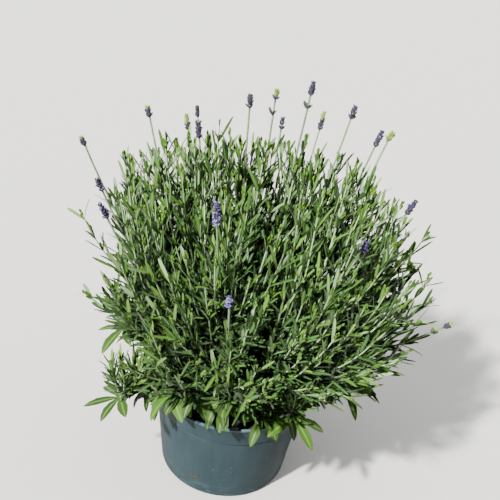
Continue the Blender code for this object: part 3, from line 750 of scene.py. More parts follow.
def leaf_centre(leaves, s):
    """The centre lines at shares s: arcs, foot + length (along sin(bend s) + up (cos(bend s) - 1)) / bend."""
    bend = np.where(np.abs(leaves["bend"]) < 1e-3, 1e-3, leaves["bend"])[:, None, None]
    run = leaves["along"][:, None] * np.sin(bend * s) + leaves["up"][:, None] * (np.cos(bend * s) - 1)
    return leaves["foot"][:, None] + leaves["length"][:, None, None] * run / bend, bend


def leaf_part(leaves, number):
    """Many closed leaves at once: at each station, the edges lie half a width to the left and right of the arc and
    are lifted by the fold, and the midrib lies half a thickness above and below it."""
    s = LEAF_STATIONS[None, :, None]
    centre, bend = leaf_centre(leaves, s)
    along, up = leaves["along"][:, None], leaves["up"][:, None]
    side = np.cross(along, up)
    shape = np.where(leaves["broad"][:, None] > 0.5, BROAD, NARROW)[:, :, None]
    normal = up * np.cos(bend * s) + along * np.sin(bend * s)
    half = leaves["width"][:, None, None] / 2 * shape
    edges = centre + normal * leaves["fold"][:, None, None] * half
    thick = LEAF_THICKNESS / 2 * (1 - 0.5 * s)
    above, below = centre + normal * thick, centre - normal * thick
    rings = np.stack([edges + side * half, above, edges - side * half, below], axis=2)
    count, stations = len(leaves["foot"]), len(LEAF_STATIONS)
    points = np.concatenate([rings.reshape(count, -1, 3), leaf_centre(leaves, np.ones((1, 1, 1)))[0]], axis=1)
    each = points.shape[1]
    quads = np.concatenate([grid_faces(stations, 4), [[3, 2, 1, 0]]])
    last = (stations - 1) * 4
    ends = np.array([(last + k, last + (k + 1) % 4, last + 4) for k in range(4)])
    under = np.tile(np.append(np.tile(RING_UNDER, stations), 0.5), count)
    values = {"tint": np.repeat(leaves["tint"], each), "young": np.repeat(leaves["young"], each), "under": under}
    return points.reshape(-1, 3), [copies(quads, each, count), copies(ends, each, count)], number, values


print("broad leaves are widest", LEAF_STATIONS[BROAD.argmax()], "of the way along")

# %% [markdown]
# ## Green materials
#
# Lavender leaves are felted: fine hairs grey the green, while young leaves at the tips are a fresh yellow-green.
# Some older leaves with thick felt are painted a whitish grey-green, which is also a painted highlight for the
# gleam of leaves in the sun. The underside is a saturated green: its own colour, and also painted light that
# shines through the thin leaf. The three attributes say where on that range a point is: tint is random for each
# leaf and lowered as painted shade for leaves deep in the plant and for broad ones, young is its youth, and under
# is 0 on the midrib above and 1 below. The narrow upper leaves are firm and glint in the sun, and the broad ones
# low down are soft and dull, so there are two leaf finishes.


# %% Leaf finish
def leaf_finish(name, dark, light, **principled):
    """A leaf's colour in layers: the green, then pale felt that is also a painted highlight, youth, the underside
    with painted light shining through it, the midrib and the hairs.
    """
    made, tree, shader = new_material(name, IOR=1.45, Sheen_Weight=0.03, **principled)
    place = add(tree, "ShaderNodeTexCoord", output="Object")
    tint, young, under = (add(tree, "ShaderNodeAttribute", output="Fac", attribute_name=key) for key in ATTRIBUTES)
    # One leaf in seven is an older one with thick felt, painted whitish grey-green, which is also a painted highlight
    #     for the gleam of sunlit leaves; the painted shade lowers the tint deep in the plant, so these stand mostly at
    #     the tips
    felt_and_highlight = add(tree, "ShaderNodeMapRange", {"Value": tint, "From Min": 0.77, "From Max": 0.87, "To Max": 0.7})
    fresh = add(tree, "ShaderNodeMix", {SHARE: tint, FIRST: "#2E4A0C", SECOND: "#5A7A1E"}, MIXED, **RGBA)
    # Underside: a saturated green, partly its own colour and partly painted light that shines through the thin leaf
    below = add(tree, "ShaderNodeMapRange", {"Value": under, "From Min": 0.5, "From Max": 0.9})
    underside_with_glow = add(tree, "ShaderNodeMix", {SHARE: young, FIRST: "#1E3C14", SECOND: "#36560F"}, MIXED, **RGBA)
    rib = add(tree, "ShaderNodeMapRange", {"Value": under, "From Min": 0.12, "From Max": 0.03, "To Max": 0.45})
    # Felt: hairs about 0.3 mm apart, drawn at 0.8 mm so that they show as a slight mottling
    felt = add(tree, "ShaderNodeTexNoise", {"Vector": place, "Scale": 1 / (0.8 * MM), "Detail": 3.0})
    hairs = add(tree, "ShaderNodeMapRange", {"Value": felt, "From Min": 0.35, "From Max": 0.75, "To Max": 0.2})
    colour = add(tree, "ShaderNodeMix", {SHARE: tint, FIRST: dark, SECOND: light}, MIXED, **RGBA)
    layers = [(felt_and_highlight, "#687C62"), (young, fresh), (below, underside_with_glow), (rib, "#4E7030"), (hairs, "#36562E")]
    coat(tree, shader, colour, layers, felt, strength=0.25, depth=0.2 * MM)
    return made


# Firm felted leaf: grey-green, with a low silvery gleam where the sun strikes it flat
upper_leaf = leaf_finish("felted_upper_leaf", "#020B02", "#1F3A17", Roughness=0.4, Specular_IOR_Level=0.22)
# Soft broad leaf: yellower green and nearly matte, so that its shape shows by shade alone
broad_leaf = leaf_finish("soft_broad_leaf", "#081402", "#203A06", Roughness=0.62, Specular_IOR_Level=0.1)
print("leaf finishes:", upper_leaf.name, broad_leaf.name)

# %% [markdown]
# ### Stem finish
#
# Young stems are pale grey-green and a little ribbed along their length, and turn brown towards the old wood.
# Here the attribute called young is the share of the way up the stem.

# %% Green stem
# Green wood with a bloom on it: paler than the leaves and dull, with fine lines that run up it
green_stem, tree, shader = new_material("ribbed_green_stem", Roughness=0.55, IOR=1.45, Specular_IOR_Level=0.3)
place = add(tree, "ShaderNodeTexCoord", output="Object")
tint, way_up, _ = (add(tree, "ShaderNodeAttribute", output="Fac", attribute_name=key) for key in ATTRIBUTES)
old_foot = add(tree, "ShaderNodeMapRange", {"Value": way_up, "From Min": 0.6, "From Max": 0.05, "To Max": 0.85})
drawn = add(tree, "ShaderNodeMapping", {"Vector": place, "Scale": (1, 1, 0.12)})
ribs = add(tree, "ShaderNodeTexNoise", {"Vector": drawn, "Scale": 1 / (1.0 * MM), "Detail": 3.0})
bloom = add(tree, "ShaderNodeMapRange", {"Value": ribs, "From Min": 0.4, "From Max": 0.7, "To Max": 0.4})
colour = add(tree, "ShaderNodeMix", {SHARE: tint, FIRST: "#30422A", SECOND: "#728666"}, MIXED, **RGBA)
coat(tree, shader, colour, [(old_foot, "#1C2010"), (bloom, "#88A074")], ribs, strength=0.3, depth=0.2 * MM)
GREENS = [green_stem, upper_leaf, broad_leaf]
STEM, LEAF, BROAD_LEAF = range(3)
print("stem finish has", len(tree.nodes), "nodes")

# %% [markdown]
# ## Where the leaves sit
#
# Leaves stand in opposite pairs, and each pair is a quarter turn on from the last. In the angle between leaf
# and stem sits a tuft of small young leaves. A shoot that doesn't flower ends in a bud: a few short scales
# wrapped round the tip. All of them are the same leaf function with other numbers.

# %% How a leaf stands
LIGHT_TURN = 0.25  # how far leaves twist so that their upper face looks to the light
LIGHT_WAY = unit(np.array([-0.3, -0.5, 1.0]))
LEAF_ROLL, BROAD_STEADY = 0.35, 0.6  # how much they roll by chance, in radians, and how much less broad ones do
LEAF_FOLDS = 0.05, 0.4  # how far the edges rise above the midrib, as a share of half the width
BROAD_PAINTED_SHADE = 0.3  # painted shade: how much darker broad leaves are, for the shade low under the dome


def leaves_at(feet, stem_ways, turns, spread, length, width, bend, young, broad, reference, light=1.0):
    """Leaves by their feet: each way is stem cos(spread) + out sin(spread), where out is turned about the stem from
    the reference. Up is the stem's way blended with the light's, square to the leaf, then rolled by chance."""
    first = unit(np.cross(stem_ways, reference))
    out = turned(turns, first, np.cross(stem_ways, first))
    along = stem_ways * np.cos(spread)[:, None] + out * np.sin(spread)[:, None]
    up = stem_ways * (1 - LIGHT_TURN) + LIGHT_WAY * LIGHT_TURN
    up = unit(up - along * (up * along).sum(1, keepdims=True))
    count = len(turns)
    roll = (rng.normal(0, LEAF_ROLL, count) * (1 - BROAD_STEADY * broad))[:, None]
    return {
        "foot": feet,
        "along": along,
        "up": up * np.cos(roll) + np.cross(along, up) * np.sin(roll),
        "length": length,
        "width": width,
        "bend": bend,
        "fold": rng.uniform(*LEAF_FOLDS, count),
        "young": np.broadcast_to(young, count).astype(float),
        "broad": np.full(count, broad),
        # tint: random, lowered by a painted shade for leaves deep in the plant and for broad leaves
        "tint": rng.random(count) * light * (1 - BROAD_PAINTED_SHADE * broad),
    }


def stacked(rows):
    """Several sets of leaves as one."""
    return {key: np.concatenate([row[key] for row in rows]) for key in rows[0]}


print("leaves turn", LIGHT_TURN, "of the way to the light")

# %% Pairs of leaves
LEAF_SPREAD, SPREAD_LESS = radians(38), radians(16)  # off the stem at its foot, and how much less at its tip
FOOT_LENGTH, FOOT_BREADTH, TIP_LESS = 1.08, 1.05, 0.25  # sizes at the foot, and how much smaller at the tip
# Painted shade: leaves low on each stem, deep in the plant where shade falls, get a lower tint and so a darker colour
PAINTED_LIGHT_FOOT, PAINTED_LIGHT_TIP = 0.25, 0.75  # painted shade: leaves deep in the plant are darker
YOUNG_FROM, YOUTH_RISE = 0.6, 0.5  # leaves turn fresh green above this share of the stem, at this rate
# What chance does to a leaf of a pair: radians of lean, shares of its length and width, its bend and its youth
PAIR_LEAN, PAIR_LENGTHS, PAIR_WIDTHS, PAIR_BEND, PAIR_YOUTH = 0.12, (0.75, 1.12), (0.75, 1.25), (0.08, 0.22), 0.18
PAIR_TURN, TUFT_TURN = 0.25, 0.5  # how far they turn about the stem by chance, in radians
BROAD_BEND = 0.6  # broad leaves bend down this much more
# The same for the small leaves of a tuft, whose leans are shares of the pair's spread
TUFT_LEANS, TUFT_LENGTHS, TUFT_WIDTHS = (0.3, 0.8), (0.32, 0.62), (0.5, 0.8)
TUFT_BEND, TUFT_YOUTH = (0.1, 0.25), (0.1, 0.9)
TUFT_LEAVES = 3  # at each pair, at most


def leafy(controls, first, last, spacing, length, width, tufts=0.7, broad=0.0, youth=0.0):
    """Pairs of leaves from one share of a stem to another, a spacing apart: pair k is turned k quarter turns, and
    length, spread and a painted shade, which darkens the leaves low on the stem, change in a straight line with
    the share t. Tufts are small leaves at the same feet."""
    reach = np.linalg.norm(controls[2] - controls[0]) * (last - first)
    count = max(2, int(reach / spacing))
    t = first + (last - first) * (np.arange(count) + rng.uniform(0.1, 0.9, count)) / count
    feet, ways = on_curve(controls, t), along_curve(controls, t)
    reference = rng.normal(size=3)
    turn = rng.uniform(0, tau) + np.arange(count) * pi / 2 + rng.normal(0, PAIR_TURN, count)
    spread = LEAF_SPREAD - SPREAD_LESS * t
    size = length * (FOOT_LENGTH - TIP_LESS * t)
    # painted shade: the tint is lower towards the foot of the stem, deep in the plant's shade
    light = PAINTED_LIGHT_FOOT + PAINTED_LIGHT_TIP * t
    rows = []
    for half_turn in (0, pi):
        lean = spread + rng.normal(0, PAIR_LEAN, count)
        grown = size * rng.uniform(*PAIR_LENGTHS, count)
        wide = width * (FOOT_BREADTH - TIP_LESS * t) * rng.uniform(*PAIR_WIDTHS, count)
        bend = rng.normal(*PAIR_BEND, count) + broad * BROAD_BEND
        young = np.clip(youth + YOUTH_RISE * (t - YOUNG_FROM) + rng.normal(0, PAIR_YOUTH, count), 0, 1)
        rows.append(leaves_at(feet, ways, turn + half_turn, lean, grown, wide, bend, young, broad, reference, light))
    for _ in range(TUFT_LEAVES):
        at = rng.random(count) < tufts
        number = int(at.sum())
        if number == 0:
            continue
        turns = turn[at] + pi * rng.integers(0, 2, number) + rng.normal(0, TUFT_TURN, number)
        lean = spread[at] * rng.uniform(*TUFT_LEANS, number)
        grown = size[at] * rng.uniform(*TUFT_LENGTHS, number)
        wide = width * rng.uniform(*TUFT_WIDTHS, number)
        bend = rng.normal(*TUFT_BEND, number)
        young = np.clip(youth + rng.uniform(*TUFT_YOUTH, number), 0, 1)
        rows.append(leaves_at(feet[at], ways[at], turns, lean, grown, wide, bend, young, 0.0, reference, light[at]))
    return rows


print("leaves stand", round(np.degrees(LEAF_SPREAD)), "degrees off the foot of a stem")


# %% Buds
BUD_TURN = radians(137.5)  # from one scale to the next
BUD_SPREAD, BUD_LESS = radians(26), radians(16)
BUD_CURL = -0.5  # scales bend inwards
SCALE_LENGTHS, SCALE_YOUTH, SCALE_WIDTH = (0.75, 1.0), (0.6, 1.0), 0.42  # the width is a share of the length


def bud(controls, size, scales=9):
    """The closed bud at a tip: scale k of n is turned 137.5 k degrees and stands k / n of the way up, more upright."""
    t = np.ones(scales)
    way = along_curve(controls, t)
    rank = np.arange(scales) / scales
    feet = on_curve(controls, t) - way * size * (0.9 * (1 - rank))[:, None]
    lean = BUD_SPREAD - BUD_LESS * rank + rng.normal(0, 0.05, scales)
    turns = np.arange(scales) * BUD_TURN
    length = size * rng.uniform(*SCALE_LENGTHS, scales)
    young = np.full(scales, rng.uniform(*SCALE_YOUTH))
    curl = np.full(scales, BUD_CURL)
    return leaves_at(feet, way, turns, lean, length, length * SCALE_WIDTH, curl, young, 0.0, rng.normal(size=3))


print("each scale of a bud is turned", round(np.degrees(BUD_TURN), 1), "degrees on")

# %% [markdown]
# ### Leaves that are left out
#
# A leaf never grows through the pot, so the ones that would are dropped. The flower spikes stand in the open, so
# the way from each spike to the front and up, towards the light, is kept free of leaves.

# %% Choosing leaves
CLEAR_WIDTH, CLEAR_DEPTH = 9 * MM, 140 * MM
RIM_GAP, SOIL_CLEAR, GROUND_CLEAR = 1 * MM, 2 * MM, 3 * MM  # how far leaves keep from the rim, soil and ground
OPEN_WAY = np.array([0, -cos(CAMERA_ELEVATION), sin(CAMERA_ELEVATION)])
spike_middles = np.array([np.mean(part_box(name), axis=0) for name in SPIKES])


def off_the_pot(leaves):
    """The leaves that touch neither pot, soil nor floor: seven points along each, by their radius and height."""
    points = leaf_centre(leaves, np.linspace(0, 1, 7)[None, :, None])[0]
    r, z = np.hypot(points[..., 0], points[..., 1]), points[..., 2]
    margin = leaves["width"][:, None] / 2
    in_wall = (r > BAND_RADIUS - WALL - margin) & (r < LIP_RADIUS + margin) & (z < RIM_HEIGHT + RIM_GAP)
    in_soil = (r < BAND_RADIUS) & (z < soil_height(r) + SOIL_CLEAR)
    keep = ~(in_wall | in_soil | (z < GROUND_CLEAR)).any(axis=1)
    return {key: value[keep] for key, value in leaves.items()}


def clear_of_spikes(leaves):
    """The leaves whose middle is further than CLEAR_WIDTH from each spike's line to the open: the nearest place on
    the line is the dot product with its way, held between 0 and CLEAR_DEPTH."""
    middle = leaves["foot"] + leaves["along"] * leaves["length"][:, None] / 2
    away = middle[:, None] - spike_middles[None]
    ahead = np.clip(away @ OPEN_WAY, 0, CLEAR_DEPTH)
    gap = np.linalg.norm(away - ahead[..., None] * OPEN_WAY, axis=-1).min(axis=1)
    return {key: value[gap > CLEAR_WIDTH] for key, value in leaves.items()}


print(len(spike_middles), "spikes are kept clear")

# %% [markdown]
# ## Side shoots
#
# Each main shoot branches low down, and its side shoots fill the dome. Their tips are spread evenly over a
# dome-shaped fan by the sunflower rule, where each one is 137.5 degrees round from the last. Every tip then
# belongs to the main shoot that points most nearly its way, and branches off it near the crown.

# %% The dome
SIDE_SHOOTS = 920  # before the near ones are thinned out
DOME = np.array([0.166, 0.152, 0.296])  # how far the leaves reach from the heart: across, in depth and up
DOME_POWER = 5.5  # 2 is an ellipsoid, and more is boxier
WIDEST_LEAN = radians(73)
STEEPER_FRONT, STEEPER_SIDE = 0.08, 0.11  # shares that the lean is less by
BACK_SLOPE = 0.20  # how much lower the dome gets towards the back
DOME_LEAN = 0.022  # how far the dome leans to the left from bottom to top
DOME_BULGE = 0.008  # how far its middle bulges to the right
OPEN_BELOW, OPEN_BEYOND = 0.13, 0.09  # below this height and beyond this far out, the dome is thinner
OPEN_LEFT, OPEN_RIGHT = 0.65, 0.85  # the shares left out there
LOW_FADE, FAR_FADE = 0.05, 0.03  # and it gets thinner over these distances
DEEPEST = 0.45  # the share of its reach that a tip may stay behind
GOLDEN = radians(137.508)  # the sunflower's angle


def dome_tips(count):
    """Tip k of n leans arccos(1 - (k / n)(1 - cos(widest))) and is turned 137.5 k degrees, which spreads tips evenly.
    It reaches to where |x / across|^p + |y / depth|^p + |z / up|^p = 1, or somewhat less. Far tips are kept more
    often."""
    rank = (np.arange(count) + 0.5) / count
    turn = GOLDEN * np.arange(count)
    steeper = np.where(np.sin(turn) < 0, STEEPER_FRONT * np.sin(turn) ** 2, 0) + STEEPER_SIDE * np.cos(turn) ** 2
    lean = np.arccos(1 - rank * (1 - cos(WIDEST_LEAN))) * (1 - steeper)
    way = round_axis(np.sin(lean), turn, np.cos(lean))
    reach = (np.abs(way / DOME) ** DOME_POWER).sum(axis=1) ** (-1 / DOME_POWER)
    depth = 1 - DEEPEST * rng.random(count) ** 1.6
    spread = way * (reach * depth)[:, None]
    spread[:, 0] += DOME_LEAN * (0.9 - spread[:, 2] / DOME[2]) + DOME_BULGE * np.sin(pi * spread[:, 2] / DOME[2])
    spread[:, 2] *= 1 - BACK_SLOPE * np.maximum(spread[:, 1], 0) / DOME[1]
    low = np.clip((OPEN_BELOW - spread[:, 2]) / LOW_FADE, 0, 1)
    far = np.clip((np.abs(spread[:, 0]) - OPEN_BEYOND) / FAR_FADE, 0, 1)
    thinned = np.where(spread[:, 0] > 0, OPEN_RIGHT, OPEN_LEFT) * low * far
    kept = (reach / reach.max()) ** 1.5 * (1 - thinned)
    return spread[rng.random(count) < kept] + HEART


STRAYS = np.array([  # tips of single shoots that stand out of the dome, in metres
    # low on the right
    (0.196, -0.03, 0.328), (0.205, -0.03, 0.299), (0.199, -0.03, 0.266), (0.168, -0.03, 0.209), (0.174, -0.03, 0.189),
    (0.182, -0.05, 0.232), (0.150, -0.06, 0.185), (0.190, 0.00, 0.362), (0.155, -0.08, 0.205), (0.188, 0.02, 0.300),
    # on the left and at the top
    (-0.146, 0, 0.409), (-0.185, -0.03, 0.349), (-0.050, 0.02, 0.452), (-0.038, 0.02, 0.444), (0.001, 0, 0.444),
    # low in front, over the rim
    (0.0, -0.115, 0.215), (0.03, -0.12, 0.228), (-0.03, -0.112, 0.222), (0.05, -0.105, 0.212), (0.015, -0.10, 0.240),
    (-0.05, -0.105, 0.240), (0.07, -0.10, 0.238), (0.03, -0.09, 0.215), (0.06, -0.12, 0.235), (-0.015, -0.10, 0.250),
    # at the top
    (0.043, 0.03, 0.444), (0.079, 0, 0.440), (0.092, -0.02, 0.430), (0.114, -0.02, 0.430), (-0.120, 0, 0.394),
])
tips = np.concatenate([dome_tips(SIDE_SHOOTS), STRAYS])
print(len(tips), "tips of side shoots")


# %% Branches
BRANCHING = 0.06, 0.34  # side shoots leave the main shoot between these shares of its length
HANDLE_OUT, STEEP_OUT = 0.46, 0.28  # the handle's share of the way out, and how much more on an upright shoot
HANDLE_UP, STEEP_UP = 0.78, 0.6  # its share of the way up, and how much less for each share of the way out


def branch(controls, tip):
    """A side shoot from a random low place on a main shoot. Its handle is further out and lower where it rises
    steeply, so that the shoot ends nearly upright."""
    start = rng.uniform(*BRANCHING)
    foot, way = on_curve(controls, [start])[0], along_curve(controls, [start])[0]
    reach = np.linalg.norm(tip - foot)
    out = HANDLE_OUT + STEEP_OUT * max((tip - foot)[2] / reach, 0.0)
    handle = foot + (tip - foot) * [out, out, HANDLE_UP - out * STEEP_UP] + way * reach * 0.05
    return np.array([foot, handle, tip])


upright = [name for name in main_shoots if not name.startswith("basal_shoot")]
main_ways = unit(np.array([main_shoots[name][2] - HEART for name in upright]))
owners = (unit(tips - HEART) @ main_ways.T).argmax(axis=1)
side_shoots = {name: [] for name in upright}
for tip, owner in zip(tips, owners):
    side_shoots[upright[owner]].append(branch(main_shoots[upright[owner]], tip))
print("one main shoot carries up to", max(len(sides) for sides in side_shoots.values()), "side shoots")

# %% [markdown]
# ### Leaves for each kind of shoot
#
# How long, broad and dense leaves are depends on where the shoot stands: narrow ones up in the sun, broad ones low
# down at the rim. One table holds that for every kind of shoot, so the loops that build them only name the kind.

# %% Leaf habits
STEM_FOOT, STEM_TIP = 1.35 * MM, 1.1 * MM  # radii
SIDE_FOOT, SIDE_TIP = 1.15 * MM, 0.65 * MM
LEAF_HABITS = {  # where leaves start and end, pair spacing, leaf length and width; then the tufts, breadth and youth
    "flower stalk": (0.06, 0.82, 17 * MM, 33 * MM, 4.6 * MM),
    "leafy shoot": (0.06, 0.97, 17 * MM, 33 * MM, 4.6 * MM),
    "side shoot": (0.15, 0.96, 16 * MM, 35 * MM, 3.9 * MM, 0.55),
    "basal shoot": (0.35, 0.9, 14 * MM, 36 * MM, 9.5 * MM, 0.5, 1.0, 0.1),
    "rim tuft": (0.3, 0.95, 11 * MM, 31 * MM, 7.0 * MM, 0.5, 1.0, 0.15),
    "crest": (0.1, 1.0, 4 * MM, 25 * MM, 3.4 * MM, 0.4, 0.0, 0.2),
}
for kind, habit in LEAF_HABITS.items():
    print(f"{kind}: leaves about {habit[3] / MM:.0f} mm long, in pairs {habit[2] / MM:.0f} mm apart")

# %% Build the upright shoots
leaf_total = 0
for name in upright:
    controls = main_shoots[name]
    flowering = name.startswith("flower_stalk")
    parts = [stem_part(controls, STEM_FOOT, STEM_TIP, 16, STEM, 0.3 * rng.random())]
    rows = leafy(controls, *LEAF_HABITS["flower stalk" if flowering else "leafy shoot"])
    if not flowering:
        rows.append(bud(controls, 8 * MM))
    for side in side_shoots[name]:
        parts.append(stem_part(side, SIDE_FOOT, SIDE_TIP, 10, STEM, rng.random()))
        rows += leafy(side, *LEAF_HABITS["side shoot"])
        rows.append(bud(side, rng.uniform(5, 9) * MM))
    leaves = clear_of_spikes(off_the_pot(stacked(rows)))
    leaf_total += len(leaves["foot"])
    make_piece(name + "_foliage", parts + [leaf_part(leaves, LEAF)], GREENS, "leaf", name)
print(leaf_total, "leaves on the upright shoots")

# %% [markdown]
# ## Basal shoots
#
# Low on the plant the shoots are short and their leaves are twice as broad, with rounded ends. They stand in
# tufts on a low ring just inside the rim, and some lean out and hang their heavy leaves over it. At the front a
# stretch of the ring is left open, where the soil shows.

# %% Basal tufts
TUFTS = 84
OPEN_SOIL = (radians(-92), radians(-68))  # the stretch round the pot where the soil shows
NEAR_RIM, NEAR_RIM_RISE = (0.060, 0.094), (0.020, 0.080)  # metres from the axis and above the rim
SET_BACK, SET_BACK_RISE = (0.045, 0.062), (0.025, 0.075)  # the same where the soil shows
FRONT_TUFTS = [  # degrees round the pot, mm out and mm above the rim
    (-178, 96, 26), (-169, 97, 20), (-162, 95, 30), (-154, 100, 16), (-147, 97, 26), (-140, 99, 18), (-133, 98, 20),
    (-127, 94, 26), (-118, 88, 34), (-99, 84, 34), (-64, 92, 14), (-47, 94, 16), (-36, 93, 24),
]


def rim_tufts(count):
    """Places of tufts: evenly round the rim, at random radius and height, and well inside it where soil shows."""
    turn = -pi + tau * (np.arange(count) + rng.uniform(0.2, 0.8, count)) / count
    at_gap = (turn > OPEN_SOIL[0]) & (turn < OPEN_SOIL[1])
    r = np.where(at_gap, rng.uniform(*SET_BACK, count), rng.uniform(*NEAR_RIM, count))
    height = np.where(at_gap, rng.uniform(*SET_BACK_RISE, count), rng.uniform(*NEAR_RIM_RISE, count))
    return round_axis(r, turn, RIM_HEIGHT + height)


tuft_tips = rim_tufts(TUFTS)
turn, out, above = np.array(FRONT_TUFTS, float).T
front_tips = round_axis(out, np.radians(turn), above) * MM + [0, 0, RIM_HEIGHT]
print(len(tuft_tips), "tufts round the rim and", len(front_tips), "that hang over it")

# %% Rosettes and crests
ROSETTE_SPREAD = radians(80)  # nearly level
ROSETTE_FRONT = np.array([0.0, 1.0, 0.0])  # the first leaf's turn is counted from square to this
ROSETTE_LENGTHS, ROSETTE_WIDTHS, ROSETTE_BENDS, ROSETTE_YOUTH = (0.8, 1.1), (0.85, 1.1), (0.6, 1.3), (0.0, 0.14)
CREST_SPREAD = 0.38  # how far a crest's shoots stand out, as a share of its height
CREST_HEIGHTS = 0.8, 1.1


def rosette(controls, count, length, width, droop):
    """Broad leaves round a tip: leaf k of n is turned k / n of a full turn, nearly level, and bends down by droop."""
    tip, way = controls[2:3], unit(along_curve(controls, [1.0]) * 0.3 + [0, 0, 0.7])
    turns = tau * (np.arange(count) + rng.uniform(-0.2, 0.2, count)) / count
    grown = length * rng.uniform(*ROSETTE_LENGTHS, count)
    bend = droop * rng.uniform(*ROSETTE_BENDS, count)
    feet, ways = np.repeat(tip, count, axis=0), np.repeat(way, count, axis=0)
    spread = ROSETTE_SPREAD + rng.normal(0, 0.15, count)
    young = rng.uniform(*ROSETTE_YOUTH, count)
    wide = width * rng.uniform(*ROSETTE_WIDTHS, count)
    return leaves_at(feet, ways, turns, spread, grown, wide, bend, young, 1.0, ROSETTE_FRONT)


def crest(controls, count, height):
    """Short upright shoots, dense with young narrow leaves, evenly round a tip: their parts and rows of leaves."""
    parts, rows = [], []
    for turn in tau * (np.arange(count) + 0.3) / count:
        foot = controls[2] - along_curve(controls, [1.0])[0] * 6 * MM
        out = np.array([cos(turn), sin(turn), 0]) * CREST_SPREAD * height
        handle, rise = foot + out * 0.9 + [0, 0, 0.4 * height], height * rng.uniform(*CREST_HEIGHTS)
        side = np.array([foot, handle, foot + out + [0, 0, rise]])
        parts.append(stem_part(side, SIDE_FOOT, SIDE_TIP, 6, STEM, rng.random()))
        rows += leafy(side, *LEAF_HABITS["crest"])
    return parts, rows


print("rosettes spread their leaves", round(np.degrees(ROSETTE_SPREAD)), "degrees")

# %% Build the basal shoots
FRONT_LEFT, LOWERED = (-0.09, 0.0), np.array([0.0, -0.006, -0.018])  # the shoot at the front left hangs lower
FAR_FRONT, SHORTENED = -0.09, 0.82  # and the ones further forward than this are shorter
basal = [name for name in main_shoots if name.startswith("basal_shoot")]
basal_ways = unit(np.array([main_shoots[name][2][:2] for name in basal]))
all_tips = np.concatenate([front_tips, tuft_tips])
over_rim = np.arange(len(all_tips)) < len(front_tips)
tuft_owners = (unit(all_tips[:, :2]) @ basal_ways.T).argmax(axis=1)
for number, name in enumerate(basal):
    foot, _, tip = main_shoots[name]
    tip = tip + LOWERED if tip[0] < FRONT_LEFT[0] and tip[1] < FRONT_LEFT[1] else tip
    reach = SHORTENED if tip[1] < FAR_FRONT else 1.0
    controls = shoot_controls(foot, foot + (tip - foot) * reach)
    parts = [stem_part(controls, STEM_FOOT, STEM_TIP, 12, STEM, rng.random())]
    rows = leafy(controls, *LEAF_HABITS["basal shoot"])
    rows.append(rosette(controls, count=6, length=42 * MM, width=12 * MM, droop=0.6))
    crest_parts, crest_rows = crest(controls, count=7, height=46 * MM)
    parts += crest_parts
    rows += crest_rows
    for k in np.flatnonzero(tuft_owners == number):
        tip = all_tips[k]
        side = shoot_controls(np.array([tip[0] * 0.3, tip[1] * 0.3, HEART[2]]), tip)
        parts.append(stem_part(side, SIDE_FOOT, SIDE_TIP, 8, STEM, rng.random()))
        rows += leafy(side, *LEAF_HABITS["rim tuft"])
        if over_rim[k]:
            rows.append(rosette(side, count=6, length=39 * MM, width=11.5 * MM, droop=0.95))
        elif rng.random() < 0.5:
            rows.append(rosette(side, count=4, length=33 * MM, width=10.5 * MM, droop=0.6))
        rows.append(bud(side, 6 * MM))
    leaves = off_the_pot(stacked(rows))
    leaf_total += len(leaves["foot"])
    for finish, chosen in ((LEAF, leaves["broad"] < 0.5), (BROAD_LEAF, leaves["broad"] > 0.5)):
        parts.append(leaf_part({key: value[chosen] for key, value in leaves.items()}, finish))
    make_piece(name + "_foliage", parts, GREENS, "leaf", name)
print(leaf_total, "leaves in all")

# %% [markdown]
# ## Woody crowns
#
# Below the green shoots each crown is old wood: a knot in the soil that forks into one brown twig for each
# shoot. The knot is a turned shape that noise makes lumpy, and each twig is a stem with a wood material.

# %% Bark
# Old lavender wood: dry and grey-brown, with fibres along it and no gloss
bark, tree, shader = new_material("dry_lavender_bark", Roughness=0.9)
place = add(tree, "ShaderNodeTexCoord", output="Object")
drawn = add(tree, "ShaderNodeMapping", {"Vector": place, "Scale": (1, 1, 0.15)})
fibre = add(tree, "ShaderNodeTexNoise", {"Vector": drawn, "Scale": 1 / (1.5 * MM), "Detail": 6.0})
strand = add(tree, "ShaderNodeMapRange", {"Value": fibre, "From Min": 0.35, "From Max": 0.7})
colour = add(tree, "ShaderNodeMix", {SHARE: strand, FIRST: "#2C2218", SECOND: "#5E5240"}, MIXED, **RGBA)
coat(tree, shader, colour, height=fibre, strength=0.9, depth=0.6 * MM)
print("bark has", len(tree.nodes), "nodes")

# %% Crowns
CROWN_RING = 26 * MM  # the crowns stand this far from the pot's axis
KNOT_ROUNDING = 1.2 * MM
KNOT_LUMPS, LUMP_SIZE = 0.16, 9 * MM  # how much the knot swells and shrinks, and over what distance
KNOT = [  # mm from its middle and above the soil
    (0, -14), (5.5, -14), (6.5, -6), (7.5, 0), (9.5, 5), (10, 10), (7.5, 16), (4, 19), (0, 19.5),
]
TWIG_RADIUS = 3.0 * MM
knot_outline = [(r * MM, z * MM, KNOT_ROUNDING * (r > 0)) for r, z in KNOT]
crown_turns = [pi / 2 + tau * k / len(CROWNS) for k in range(len(CROWNS))]
crown_middles = [CROWN_RING * np.array([cos(turn), sin(turn)]) for turn in crown_turns]
for number, name in enumerate(CROWNS):
    ground = np.array([*crown_middles[number], soil_height(CROWN_RING)])
    knot, knot_faces = swept(rounded(knot_outline, 3), 20)
    knot = knot * (1 + KNOT_LUMPS * ripple(knot, LUMP_SIZE, 5))[:, None] + ground
    parts = [(knot, knot_faces, 0, {})]
    for controls in main_shoots.values():
        foot = controls[0]
        if np.argmin([np.linalg.norm(foot[:2] - middle) for middle in crown_middles]) == number:
            way = unit(controls[1] - foot)
            twig = np.array([ground + [0, 0, 12 * MM], foot - way * 10 * MM, foot + way * 1 * MM])
            parts.append(stem_part(twig, TWIG_RADIUS, STEM_FOOT * 1.1, 8, 0, 0.5))
    make_piece(name + "_wood", parts, [bark], "woody_stem", name)
    print(name, "forks into", len(parts) - 1, "twigs")

